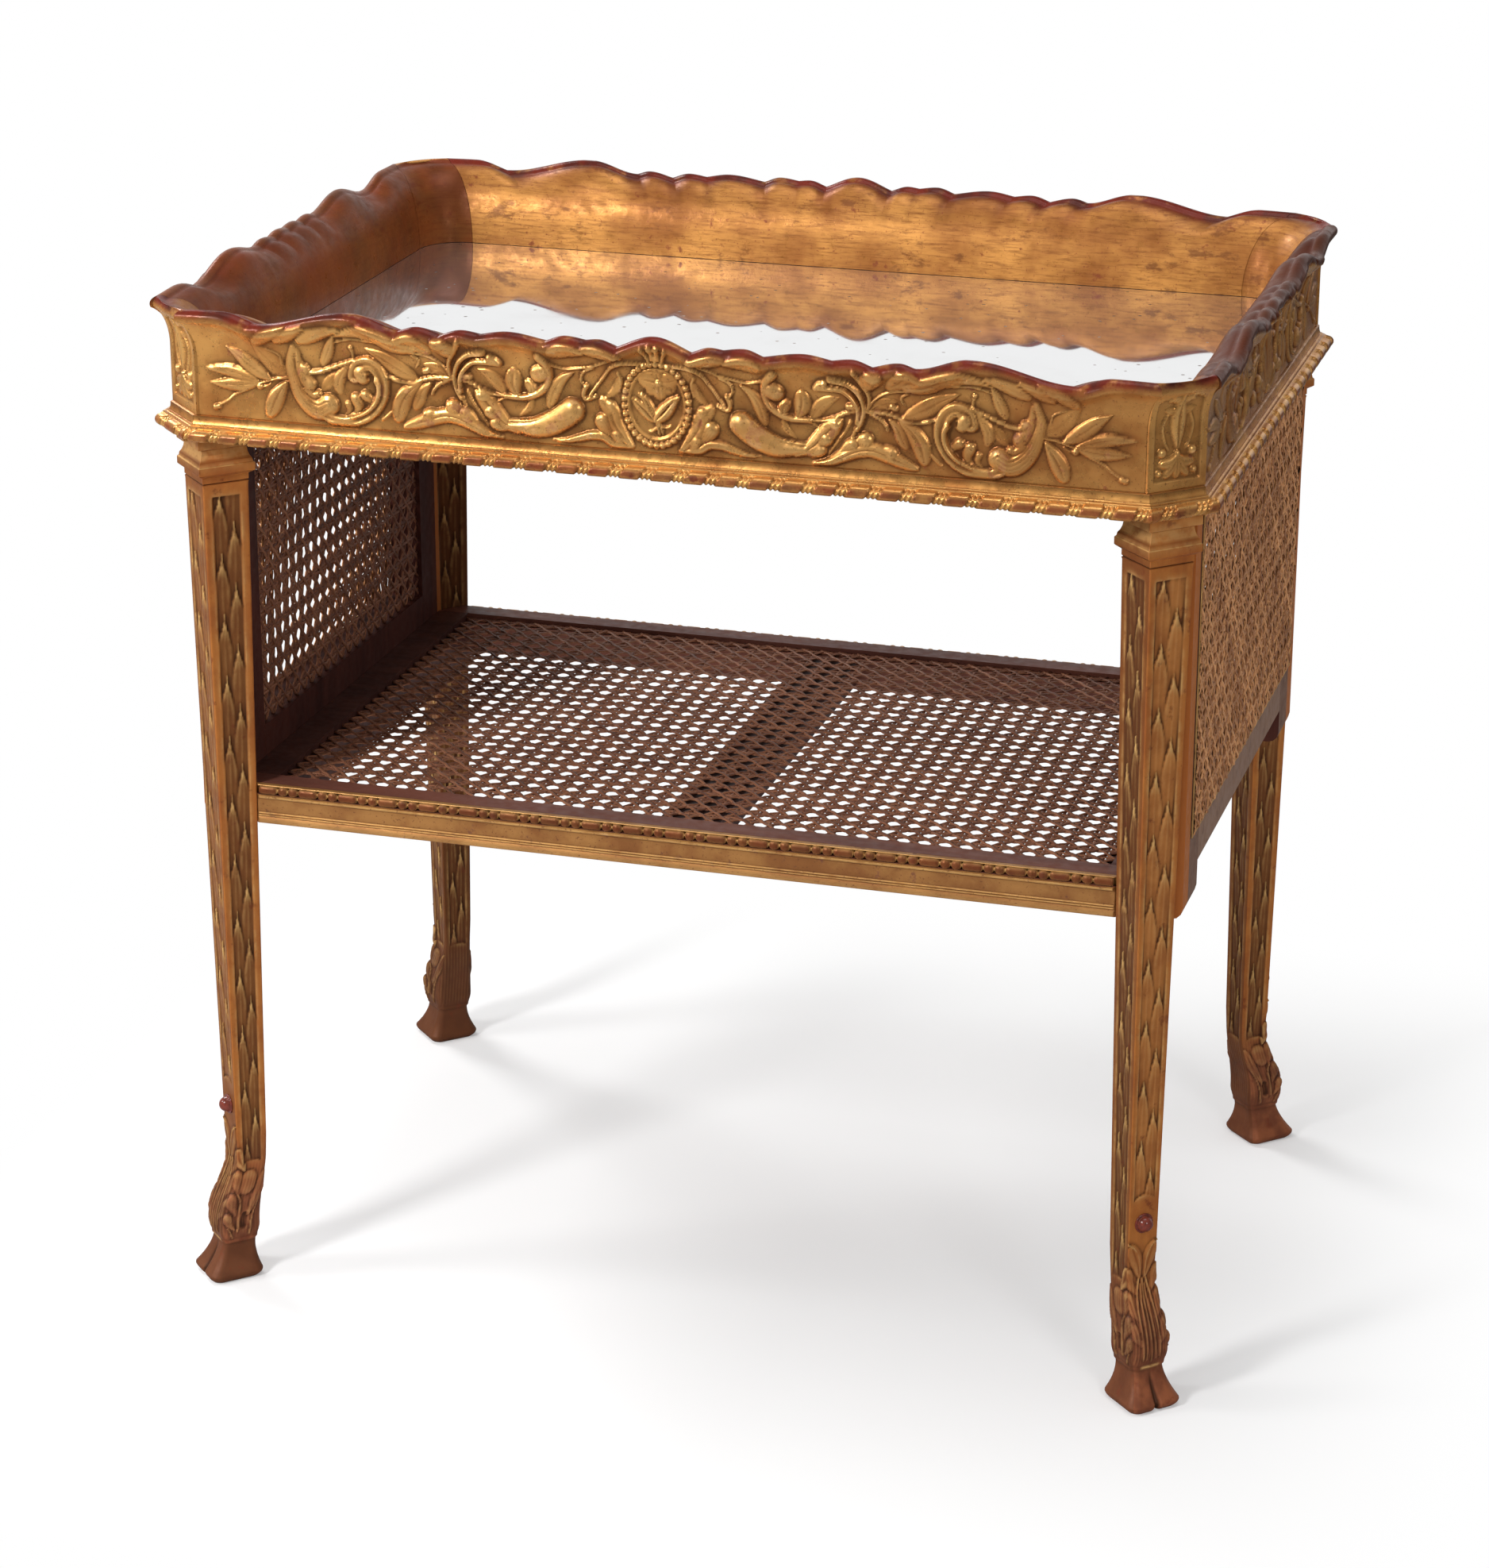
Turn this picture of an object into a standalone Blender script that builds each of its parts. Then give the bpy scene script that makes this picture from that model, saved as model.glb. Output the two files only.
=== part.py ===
"""Serving table: a galleried mirror tray on four hoofed legs, with double-caned ends and a caned shelf.

Metres, +Z up. The origin is on the floor under the middle of the table.
+X runs along the tray and +Y to the back.
Offsets of a section run outwards from the foot of the tray's frieze, heights run up from it.
"""

import math

import bmesh
import bpy
from mathutils import Matrix, Vector

# Clearance between pieces that touch
GAP = 0.0003

# Tray plan, at the foot of the frieze
TRAY_LENGTH = 0.751
TRAY_DEPTH = 0.519
CORNER_CUT = 0.033
CORNER_PROUD = 0.002
TRAY_FOOT_Z = 0.690

# Gallery section
RAIL_THICKNESS = 0.0265
CREST_HEIGHT = 0.0775
FLARE = 0.0115
FLARE_HEIGHT = 0.036
LIP_RADIUS = 0.0055
LIP_TURNS = ((-25, 1.0), (20, 1.0), (65, 1.0), (110, 0.5))
LIP_END_TURN = 150
CAVETTO_TURN = 70
CAVETTO_STEPS = 4
OVOLO_TURNS = (90, 66, 43, 20, 0)
REBATE_WIDTH = 0.008
REBATE_HEIGHT = 0.017

# Scalloped crest: (share of the half rail from its middle, rise above the crest height)
LONG_CREST = (
    (0.0, 0.0058), (0.077, -0.0032), (0.116, 0.001), (0.142, 0.0), (0.184, 0.0018), (0.224, -0.0025),
    (0.306, 0.0015), (0.363, -0.0015), (0.403, 0.0002), (0.445, -0.004), (0.499, 0.0), (0.53, -0.0028),
    (0.641, 0.006), (0.851, -0.0065), (0.925, 0.0005), (1.0, 0.0),
)
SHORT_CREST = (
    (0.0, -0.0015), (0.059, 0.0), (0.118, -0.0025), (0.182, -0.0005), (0.241, -0.003),
    (0.452, 0.005), (0.71, -0.007), (0.867, 0.0005), (1.0, 0.0),
)
CREST_STEP = 0.024

# Tray floor
MIRROR_THICKNESS = 0.004
INNER_CORNER_STEPS = 6

# Base moulding of the tray
BASE_HEIGHT = 0.018
BASE_INSET = 0.026
BAND_PROUD = 0.0022
BAND_HEIGHT = 0.0075
FILLET_STEP = 0.0024
FILLET_HEIGHT = 0.0016
RIBBON_FOOT = 0.0082
RIBBON_PROUD = 0.0054
HALF_ROUND_TURNS = (90, 55, 20, -20, -55, -90)
MITRE_INSET = 0.004
BLOCK_DEPTH = 0.05

# Legs, set on the diagonals of the tray's corners
LEG_INSET = 0.0211
LEG_OFFSET = 0.0027
LEG_TOP_HALF = 0.0178
LEG_FOOT_HALF = 0.0125
LEG_TAPER_FOOT_Z = 0.142
TENON_HALF = 0.0065
TENON_LENGTH = 0.013

# Capital of the leg, measured down from the tray
ABACUS_HEIGHT = 0.0105
ABACUS_HALF = 0.0185
NECK_HALF = 0.0172
FLANGE_HALF = 0.0212
FLANGE_DROP = 0.0235
FLANGE_HEIGHT = 0.0035
BAND_DROP = 0.0363
CAPITAL_COVE = ((0.25, 0.7), (0.6, 0.2), (0.85, 0.0))

# Sunk panels of the leg
PANEL_SINK = 0.0016
PANEL_BORDER_SHARE = 0.3
PANEL_TOP_DROP = 0.0467
SIDE_PANEL_FOOT_Z = 0.116
FRONT_PANEL_FOOT_Z = 0.162

# Ankle and hoof
KNEE_TOP_Z = 0.100
KNEE_HALF = 0.0152
KNEE_Z = 0.047
ANKLE_HALF = 0.0122
ANKLE_BOW = 0.0127
HOOF_HEIGHT = 0.0295
HOOF_HALF = 0.0182
HOOF_BOW = 0.0175
HOOF_EDGE = 0.004
SOLE_INSET = 0.0013
HOOF_CURVE = 1.6
HOOF_CORNER_SHARE = 0.2
CLEFT_DEPTH = 0.0045
CLEFT_HALF = 0.0028
CLEFT_FLOOR_HALF = 0.0007
QUARTERS = (0.25, 0.5, 0.75, 1.0)

# Bosses on the legs
BOSS_Z = 0.140
BOSS_RADIUS = 0.006
BOSS_RIM = 0.0075
BOSS_RIM_THICKNESS = 0.001
BOSS_RISE = 0.0048
PEG_RADIUS = 0.002
PEG_LENGTH = 0.006
ROUND_STEPS = 12
DOME_TURNS = (30, 60)
MERGE_DISTANCE = 0.000001

# End panels
PANEL_THICKNESS = 0.029
PANEL_INSET = 0.004
STILE_WIDTH = 0.0345
STILE_FRONT = 0.008
STILE_TOE = 0.008
TOE_TURNS = (90, 60, 30, 0)
NOTCH_SLOPE = 0.004
PANEL_TOP_RAIL = 0.028
PANEL_BOTTOM_RAIL = 0.024
PANEL_RAIL_DROP = 0.004
CANE_DEPTH = 0.003
CANE_LAP = 0.027
LAP_SLOPE = 0.001
STUB_LENGTH = 0.01
STUB_INSET = 0.007

# Cane sheets: a plain grid of openings, coarser than the weave and as open as it
CANE_THICKNESS = 0.002
OPENING_PITCH = 0.053
OPENING_SHARE = 0.56

# Shelf
SHELF_TOP_Z = 0.400
SHELF_HEIGHT = 0.0305
SHELF_FACE = 0.0012
SHELF_MARGIN = 0.0237
SHELF_SIDE_MARGIN = 0.0254
LEDGE_WIDTH = 0.008
LEDGE_DROP = 0.005
SHELF_COVE = 0.003
SHELF_COVE_DROP = 0.0189
COVE_TURNS = (0, 45, 90)
BEAD_HEIGHT = 0.0076
BEAD_DEPTH = 0.005
BEAD_ROUND = 0.003
STRETCHER_WIDTH = 0.045
STRETCHER_HEIGHT = 0.018
STRETCHER_DROP = 0.002

# Places worked out from the sizes above
ROOT2 = math.sqrt(2)
HALF_LENGTH = TRAY_LENGTH / 2
HALF_DEPTH = TRAY_DEPTH / 2
UNDER_Z = TRAY_FOOT_Z - BASE_HEIGHT
BASE_CUT = CORNER_CUT - CORNER_PROUD * ROOT2
LEG_X = HALF_LENGTH - CORNER_CUT / 2 - (LEG_INSET - LEG_OFFSET) / ROOT2
LEG_Y = HALF_DEPTH - CORNER_CUT / 2 - (LEG_INSET + LEG_OFFSET) / ROOT2
LEG_BAND_Z = UNDER_Z - BAND_DROP
PANEL_IN_X = LEG_X - PANEL_INSET
PANEL_OUT_X = PANEL_IN_X + PANEL_THICKNESS
SHELF_UNDER_Z = SHELF_TOP_Z - SHELF_HEIGHT
SHELF_FACE_Y = LEG_Y + SHELF_FACE
SHELF_IN_Y = SHELF_FACE_Y - SHELF_MARGIN - LEDGE_WIDTH
LAP_DEPTH = CANE_THICKNESS + 2 * GAP
CANE_Z0 = SHELF_TOP_Z + PANEL_BOTTOM_RAIL
CANE_Z1 = UNDER_Z - PANEL_TOP_RAIL

# Finishes: colour, roughness, metallic
GILT = ((0.62, 0.38, 0.12), 0.42, 0.65)
WORN_GILT = ((0.50, 0.29, 0.10), 0.48, 0.45)
BROWN_WOOD = ((0.16, 0.075, 0.04), 0.50, 0.0)
CANE = ((0.24, 0.12, 0.055), 0.55, 0.0)
MIRROR = ((0.86, 0.87, 0.87), 0.05, 1.0)
RED_BOSS = ((0.34, 0.06, 0.03), 0.22, 0.1)


def clear_scene():
    for found in list(bpy.data.objects):
        bpy.data.objects.remove(found)


def finish_of(name, finish):
    colour, roughness, metallic = finish
    made = bpy.data.materials.new(name + "_finish")
    made.use_nodes = True
    shader = made.node_tree.nodes["Principled BSDF"]
    shader.inputs["Base Color"].default_value = (*colour, 1.0)
    shader.inputs["Roughness"].default_value = roughness
    shader.inputs["Metallic"].default_value = metallic
    return made


def mesh_of(name, work):
    """Closes a bmesh into a mesh with its faces pointing out and its round stretches shaded smooth."""
    bmesh.ops.recalc_face_normals(work, faces=work.faces)
    mesh = bpy.data.meshes.new(name)
    work.to_mesh(mesh)
    work.free()
    mesh.shade_smooth()
    mesh.set_sharp_from_angle(angle=math.radians(35))
    return mesh


def loft(name, rings):
    """A closed body through rings of as many points each, with its two end rings filled."""
    work = bmesh.new()
    rows = [[work.verts.new(point) for point in ring] for ring in rings]
    count = len(rows[0])
    for low, high in zip(rows, rows[1:]):
        for i in range(count):
            j = (i + 1) % count
            work.faces.new((low[i], low[j], high[j], high[i]))
    work.faces.new(rows[0])
    work.faces.new(rows[-1])
    return mesh_of(name, work)


def prism(name, outline, low, high):
    return loft(name, [[(x, y, z) for x, y in outline] for z in (low, high)])


def block(name, low, high):
    outline = ((low[0], low[1]), (high[0], low[1]), (high[0], high[1]), (low[0], high[1]))
    return prism(name, outline, low[2], high[2])


def place(name, mesh, finish, place_at=(0, 0, 0), turn=0.0):
    """A named piece of the table, turned about +Z and hung on the table's empty."""
    own = mesh.copy()
    own.materials.append(finish_of(name, finish))
    piece = bpy.data.objects.new(name, own)
    piece.location = place_at
    piece.rotation_euler = (0, 0, turn)
    piece.parent = table
    bpy.context.collection.objects.link(piece)
    return piece


def cut(piece, mesh, place_at=(0, 0, 0), turn=0.0):
    """Cuts a hole or mortise with a hidden wire body."""
    cutter = bpy.data.objects.new(f"{piece.name}_cut_{len(piece.modifiers)}", mesh)
    cutter.location = place_at
    cutter.rotation_euler = (0, 0, turn)
    cutter.hide_render = True
    cutter.display_type = "WIRE"
    cutter.parent = table
    bpy.context.collection.objects.link(cutter)
    boolean = piece.modifiers.new("cut", "BOOLEAN")
    boolean.operation = "DIFFERENCE"
    boolean.solver = "EXACT"
    boolean.object = cutter


def union(piece, mesh):
    """Joins a second body to a piece."""
    added = bpy.data.objects.new(f"{piece.name}_add_{len(piece.modifiers)}", mesh)
    added.hide_render = True
    added.display_type = "WIRE"
    added.parent = table
    bpy.context.collection.objects.link(added)
    boolean = piece.modifiers.new("add", "BOOLEAN")
    boolean.operation = "UNION"
    boolean.solver = "EXACT"
    boolean.object = added


def corners():
    """Each corner of the table: its name, the signs of x and y and the turn of its outward diagonal."""
    for name, sign_x, sign_y in (("fl", -1, -1), ("fr", 1, -1), ("br", 1, 1), ("bl", -1, 1)):
        yield name, sign_x, sign_y, math.atan2(sign_y, sign_x)


def corner_middle(sign_x, sign_y, z):
    """Middle of the tray's cut corner, at the foot of the frieze."""
    return sign_x * (HALF_LENGTH - CORNER_CUT / 2), sign_y * (HALF_DEPTH - CORNER_CUT / 2), z


def sides(long_rail, short_rail):
    """Each side of the tray: its name, its rail and the turn from the front to it."""
    rails = (("front", long_rail), ("right", short_rail), ("back", long_rail), ("left", short_rail))
    for step, (name, rail) in enumerate(rails):
        yield name, rail, step * math.pi / 2


# Gallery of the tray


def gallery_section(crest):
    """(offset, height, share of the outer face) once round the section, for a crest at this height."""
    lip_x = FLARE - LIP_RADIUS
    lip_z = crest - LIP_RADIUS

    def lip(degrees):
        turn = math.radians(degrees)
        return lip_x + LIP_RADIUS * math.cos(turn), lip_z + LIP_RADIUS * math.sin(turn)

    foot_z = crest - FLARE_HEIGHT
    cove_x, cove_z = lip(LIP_TURNS[0][0])
    whole = math.radians(CAVETTO_TURN)
    points = [(0.0, 0.0, 1.0)]
    for step in range(CAVETTO_STEPS):
        turn = whole * step / CAVETTO_STEPS
        out = cove_x * (1 - math.cos(turn)) / (1 - math.cos(whole))
        up = foot_z + (cove_z - foot_z) * math.sin(turn) / math.sin(whole)
        points.append((out, up, 1.0))
    for degrees, share in LIP_TURNS:
        points.append((*lip(degrees), share))
    top_x, top_z = lip(LIP_END_TURN)
    for degrees in OVOLO_TURNS:
        turn = math.radians(degrees)
        out = -RAIL_THICKNESS + (top_x + RAIL_THICKNESS) * (1 - math.cos(turn))
        up = REBATE_HEIGHT + (top_z - REBATE_HEIGHT) * math.sin(turn)
        points.append((out, up, 0.0))
    points.append((REBATE_WIDTH - RAIL_THICKNESS, REBATE_HEIGHT, 0.0))
    points.append((REBATE_WIDTH - RAIL_THICKNESS, 0.0, 0.0))
    return points


def crest_stations(crest, half):
    """(share, rise) along a whole rail, eased between the turning points of its half crest."""
    side = []
    for (from_share, from_rise), (to_share, to_rise) in zip(crest, crest[1:]):
        steps = max(2, round((to_share - from_share) * half / CREST_STEP))
        for step in range(steps):
            ease = (1 - math.cos(math.pi * step / steps)) / 2
            share = from_share + (to_share - from_share) * step / steps
            side.append((share, from_rise + (to_rise - from_rise) * ease))
    side.append(crest[-1])
    return [(-share, rise) for share, rise in reversed(side[1:])] + side


def gallery_rail_mesh(name, crest, half, face):
    """A rail whose outer face looks to -Y, its ends cut at 45 degrees to meet the corner pieces."""
    rings = []
    for share, rise in crest_stations(crest, half):
        section = gallery_section(CREST_HEIGHT + rise)
        rings.append([(share * (half + out - GAP * ROOT2), -face - out, up) for out, up, _ in section])
    return loft(name, rings)


def gallery_corner_mesh():
    """A corner piece: straight outside, hollowed to a quarter round inside. Its outer face looks to +X."""
    half = CORNER_CUT / ROOT2
    section = gallery_section(CREST_HEIGHT)
    rings = []
    for step in range(INNER_CORNER_STEPS + 1):
        across = half * (2 * step / INNER_CORNER_STEPS - 1)
        hollow = math.sqrt(CORNER_CUT**2 - across**2) - half
        ring = []
        for out, up, share in section:
            outer = CORNER_PROUD + out
            inner = out * ROOT2 + hollow
            ring.append((share * outer + (1 - share) * inner, across, up))
        rings.append(ring)
    return loft("gallery_corner", rings)


def build_gallery():
    seat = TRAY_FOOT_Z + GAP
    long_rail = gallery_rail_mesh("gallery_long", LONG_CREST, HALF_LENGTH - CORNER_CUT, HALF_DEPTH)
    short_rail = gallery_rail_mesh("gallery_short", SHORT_CREST, HALF_DEPTH - CORNER_CUT, HALF_LENGTH)
    for side, mesh, turn in sides(long_rail, short_rail):
        place(f"gallery_rail_{side}", mesh, GILT, (0, 0, seat), turn)
    corner = gallery_corner_mesh()
    for name, sign_x, sign_y, turn in corners():
        place(f"gallery_corner_{name}", corner, GILT, corner_middle(sign_x, sign_y, seat), turn)


def floor_outline():
    """Rounded rectangle that drops into the rebate of the gallery."""
    half_x = HALF_LENGTH - RAIL_THICKNESS + REBATE_WIDTH - GAP
    half_y = HALF_DEPTH - RAIL_THICKNESS + REBATE_WIDTH - GAP
    outline = []
    for sign_x, sign_y, start in ((1, 1, 0), (-1, 1, 90), (-1, -1, 180), (1, -1, 270)):
        for step in range(INNER_CORNER_STEPS + 1):
            turn = math.radians(start + 90 * step / INNER_CORNER_STEPS)
            x = sign_x * (half_x - CORNER_CUT) + CORNER_CUT * math.cos(turn)
            y = sign_y * (half_y - CORNER_CUT) + CORNER_CUT * math.sin(turn)
            outline.append((x, y))
    return outline


def build_tray_floor():
    mirror_top = TRAY_FOOT_Z + REBATE_HEIGHT
    mirror_under = mirror_top - MIRROR_THICKNESS
    outline = floor_outline()
    place("mirror_plate", prism("mirror", outline, mirror_under, mirror_top), MIRROR)
    place("tray_board", prism("board", outline, TRAY_FOOT_Z + GAP, mirror_under - GAP), BROWN_WOOD)


# Base moulding of the tray


def base_section():
    """(offset, height) down the moulded face: band, two fillets and the torus that carries the ribbon."""
    points = [(BAND_PROUD, 0.0), (BAND_PROUD, -BAND_HEIGHT)]
    for step in (1, 2):
        out = BAND_PROUD + step * FILLET_STEP
        points.append((out, -BAND_HEIGHT - (step - 1) * FILLET_HEIGHT))
        points.append((out, -BAND_HEIGHT - step * FILLET_HEIGHT))
    top = -BAND_HEIGHT - 2 * FILLET_HEIGHT
    centre = (top - BASE_HEIGHT) / 2
    for degrees in HALF_ROUND_TURNS:
        turn = math.radians(degrees)
        out = RIBBON_FOOT + RIBBON_PROUD * math.cos(turn)
        points.append((out, centre + (top - centre) * math.sin(turn)))
    return points


def mitre_reach(out, half):
    """How far a base rail reaches at this offset: mitred in front, cut at 45 degrees behind."""
    front = max(out, -MITRE_INSET)
    return half + front * (ROOT2 - 1) + min(out + MITRE_INSET, 0.0) - GAP


def base_rail_mesh(name, half, face):
    back = [(-BASE_INSET, -BASE_HEIGHT), (-BASE_INSET, 0.0), (-MITRE_INSET, 0.0)]
    under = [(-MITRE_INSET, -BASE_HEIGHT)]
    section = base_section() + under + back
    return loft(
        name,
        [[(side * mitre_reach(out, half), -face - out, up) for out, up in section] for side in (-1, 1)],
    )


def base_corner_mesh():
    """A moulded corner block, its face to +X, deep enough to take the leg's tenon."""

    def reach(out):
        return (BASE_CUT + max(out, -MITRE_INSET) * (2 - ROOT2)) / ROOT2

    rings = []
    for out, up in base_section():
        across = reach(out)
        waist = reach(-MITRE_INSET)
        face = CORNER_PROUD + out
        neck = CORNER_PROUD - MITRE_INSET
        half = [(face, across), (neck, waist), (-BLOCK_DEPTH, waist)]
        rings.append([(x, -y, up) for x, y in half] + [(x, y, up) for x, y in reversed(half)])
    return loft("base_corner", rings)


def build_base():
    long_rail = base_rail_mesh("base_long", HALF_LENGTH - BASE_CUT, HALF_DEPTH)
    short_rail = base_rail_mesh("base_short", HALF_DEPTH - BASE_CUT, HALF_LENGTH)
    for side, mesh, turn in sides(long_rail, short_rail):
        place(f"base_moulding_{side}", mesh, GILT, (0, 0, TRAY_FOOT_Z), turn)
    corner = base_corner_mesh()
    room = TENON_HALF + GAP
    mortise_z = UNDER_Z + TENON_LENGTH + GAP
    for name, sign_x, sign_y, turn in corners():
        made = place(f"base_corner_{name}", corner, GILT, corner_middle(sign_x, sign_y, TRAY_FOOT_Z), turn)
        mortise = block("mortise", (-room, -room, UNDER_Z - BASE_HEIGHT), (room, room, mortise_z))
        cut(made, mortise, (sign_x * LEG_X, sign_y * LEG_Y, 0), turn)


# Legs


def leg_half(z):
    """Half the side of the straight tapered leg at this height."""
    share = (z - LEG_TAPER_FOOT_Z) / (LEG_BAND_Z - LEG_TAPER_FOOT_Z)
    return LEG_FOOT_HALF + (LEG_TOP_HALF - LEG_FOOT_HALF) * share


def leg_ring(z, half, bow=0.0, sinks=(0, 0, 0, 0), cleft=0.0, toe=0.0):
    """Square ring with a sunk panel on each side. Side 0 looks outwards to +X, where bow moves the ring."""
    border = half * PANEL_BORDER_SHARE
    ring = []
    for side in range(4):
        edges = [half - border, half - border - PANEL_SINK / 2]
        sink = sinks[side]
        if cleft and side == 0:
            edges = [CLEFT_HALF, CLEFT_FLOOR_HALF]
            sink = cleft
        face = [(half + toe, -half - toe), (half, -edges[0]), (half - sink, -edges[1])]
        face += [(half - sink, edges[1]), (half, edges[0])]
        turn = Matrix.Rotation(side * math.pi / 2, 2)
        for point in face:
            x, y = turn @ Vector(point)
            ring.append((x + bow, y, z))
    return ring


def hoof_rings():
    """The flared cloven hoof, from its flat sole up to the ankle."""
    rings = [leg_ring(0.0, HOOF_HALF - SOLE_INSET, HOOF_BOW, cleft=CLEFT_DEPTH)]
    flare = HOOF_HALF - ANKLE_HALF
    for share in (0.0, *QUARTERS):
        z = HOOF_EDGE + (HOOF_HEIGHT - HOOF_EDGE) * share
        half = ANKLE_HALF + flare * (1 - share) ** HOOF_CURVE
        bow = HOOF_BOW + (ANKLE_BOW - HOOF_BOW) * share
        toe = flare * (1 - share) * HOOF_CORNER_SHARE
        rings.append(leg_ring(z, half, bow, cleft=CLEFT_DEPTH * (1 - share), toe=toe))
    return rings


def knee_rings():
    """The bowed ankle, swelling to the knee and straightening into the tapered leg."""
    top_half = leg_half(KNEE_TOP_Z)
    rings = []
    for share in (QUARTERS[0], QUARTERS[-1]):
        half = ANKLE_HALF + (KNEE_HALF - ANKLE_HALF) * math.sin(share * math.pi / 2)
        z = HOOF_HEIGHT + (KNEE_Z - HOOF_HEIGHT) * share
        rings.append(leg_ring(z, half, ANKLE_BOW))
    for share in QUARTERS:
        ease = (1 - math.cos(math.pi * share)) / 2
        z = KNEE_Z + (KNEE_TOP_Z - KNEE_Z) * share
        rings.append(leg_ring(z, KNEE_HALF + (top_half - KNEE_HALF) * ease, ANKLE_BOW * (1 - ease)))
    return rings


def shaft_rings():
    """The straight taper, with a sunk panel on each of its four sides, shorter on the outward side."""
    panel_top = UNDER_Z - PANEL_TOP_DROP
    wall = PANEL_SINK / 2
    deep = PANEL_SINK
    steps = (
        (SIDE_PANEL_FOOT_Z, (0, 0, 0, 0)),
        (SIDE_PANEL_FOOT_Z + wall, (0, deep, deep, deep)),
        (FRONT_PANEL_FOOT_Z, (0, deep, deep, deep)),
        (FRONT_PANEL_FOOT_Z + wall, (deep, deep, deep, deep)),
        (panel_top - wall, (deep, deep, deep, deep)),
        (panel_top, (0, 0, 0, 0)),
    )
    return [leg_ring(z, leg_half(z), sinks=sinks) for z, sinks in steps]


def capital_rings():
    """Moulded capital, from the flat band up to the abacus, and the tenon above it."""
    flange_z = UNDER_Z - FLANGE_DROP
    abacus_z = UNDER_Z - ABACUS_HEIGHT
    groove = PANEL_SINK / 2
    flat_z = flange_z - 2 * FLANGE_HEIGHT
    cove = abacus_z - flange_z
    steps = (
        (LEG_BAND_Z - 2 * groove, LEG_TOP_HALF),
        (LEG_BAND_Z - groove, LEG_TOP_HALF - groove),
        (LEG_BAND_Z, LEG_TOP_HALF),
        (flat_z, LEG_TOP_HALF),
        (flange_z - FLANGE_HEIGHT, FLANGE_HALF),
        (flange_z, FLANGE_HALF),
        *((flange_z + up * cove, NECK_HALF + out * (FLANGE_HALF - NECK_HALF)) for up, out in CAPITAL_COVE),
        (abacus_z, NECK_HALF),
        (abacus_z, ABACUS_HALF),
        (UNDER_Z - GAP, ABACUS_HALF),
        (UNDER_Z - GAP, TENON_HALF),
        (UNDER_Z + TENON_LENGTH, TENON_HALF),
    )
    return [leg_ring(z, half) for z, half in steps]


def boss_mesh():
    """Turned cabochon on a thin rim, with a peg behind it. Its axis is +X, its seat at x = 0."""
    profile = [(-PEG_LENGTH, 0.0), (-PEG_LENGTH, PEG_RADIUS), (0.0, PEG_RADIUS), (0.0, BOSS_RIM)]
    profile += [(BOSS_RIM_THICKNESS, BOSS_RIM), (BOSS_RIM_THICKNESS, BOSS_RADIUS)]
    for degrees in DOME_TURNS:
        turn = math.radians(degrees)
        rise = BOSS_RIM_THICKNESS + (BOSS_RISE - BOSS_RIM_THICKNESS) * math.sin(turn)
        profile.append((rise, BOSS_RADIUS * math.cos(turn)))
    profile.append((BOSS_RISE, 0.0))
    work = bmesh.new()
    points = [work.verts.new((x, 0, radius)) for x, radius in profile]
    edges = [work.edges.new(pair) for pair in zip(points, points[1:])]
    bmesh.ops.spin(
        work,
        geom=points + edges,
        cent=(0, 0, 0),
        axis=(1, 0, 0),
        angle=math.tau,
        steps=ROUND_STEPS,
        use_merge=True,
    )
    bmesh.ops.remove_doubles(work, verts=work.verts, dist=MERGE_DISTANCE)
    return mesh_of("boss", work)


def peg_hole_mesh():
    """Round cutter along X for the boss's peg."""
    radius = PEG_RADIUS + GAP
    rings = []
    for x in (-PEG_LENGTH - 2 * GAP, BOSS_RISE):
        turns = [math.tau * step / ROUND_STEPS for step in range(ROUND_STEPS)]
        rings.append([(x, radius * math.cos(turn), radius * math.sin(turn)) for turn in turns])
    return loft("peg_hole", rings)


def build_legs():
    leg = loft("leg", hoof_rings() + knee_rings() + shaft_rings() + capital_rings())
    boss = boss_mesh()
    seat = leg_half(BOSS_Z) + GAP
    for name, sign_x, sign_y, turn in corners():
        axis = Vector((sign_x * LEG_X, sign_y * LEG_Y, 0))
        made = place(f"leg_{name}", leg, WORN_GILT, axis, turn)
        outward = Vector((math.cos(turn), math.sin(turn), 0))
        boss_at = axis + outward * seat + Vector((0, 0, BOSS_Z))
        place(f"leg_boss_{name}", boss, RED_BOSS, boss_at, turn)
        cut(made, peg_hole_mesh(), boss_at, turn)


# Cane sheets


def opening_edges(half):
    """Where the openings across a sheet of this half width start and end, between its two borders."""
    count = round(2 * half / OPENING_PITCH)
    pitch = 2 * half / count
    edges = []
    for number in range(count):
        middle = (number + 0.5) * pitch - half
        edges += [middle - pitch * OPENING_SHARE / 2, middle + pitch * OPENING_SHARE / 2]
    return [-half, *edges, half]


def cane_mesh(half_x, half_y):
    """A cane sheet about the origin, lying flat and from z = 0 up, with its grid of openings left out."""
    work = bmesh.new()
    rows = [[work.verts.new((x, y, 0)) for y in opening_edges(half_y)] for x in opening_edges(half_x)]
    for i, (near, far) in enumerate(zip(rows, rows[1:])):
        for j in range(len(near) - 1):
            opening = i % 2 == 1 and j % 2 == 1
            if not opening:
                work.faces.new((near[j], far[j], far[j + 1], near[j + 1]))
    raised = bmesh.ops.extrude_face_region(work, geom=work.faces[:], use_keep_orig=True)
    top = [found for found in raised["geom"] if isinstance(found, bmesh.types.BMVert)]
    bmesh.ops.translate(work, verts=top, vec=(0, 0, CANE_THICKNESS))
    return mesh_of("cane", work)


def upright(mesh):
    """Stands a flat sheet up: its X then runs along Y, its Y up and its thickness along X."""
    mesh.transform(Matrix(((0, 0, 1), (1, 0, 0), (0, 1, 0))).to_4x4())
    return mesh


# End panels


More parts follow.
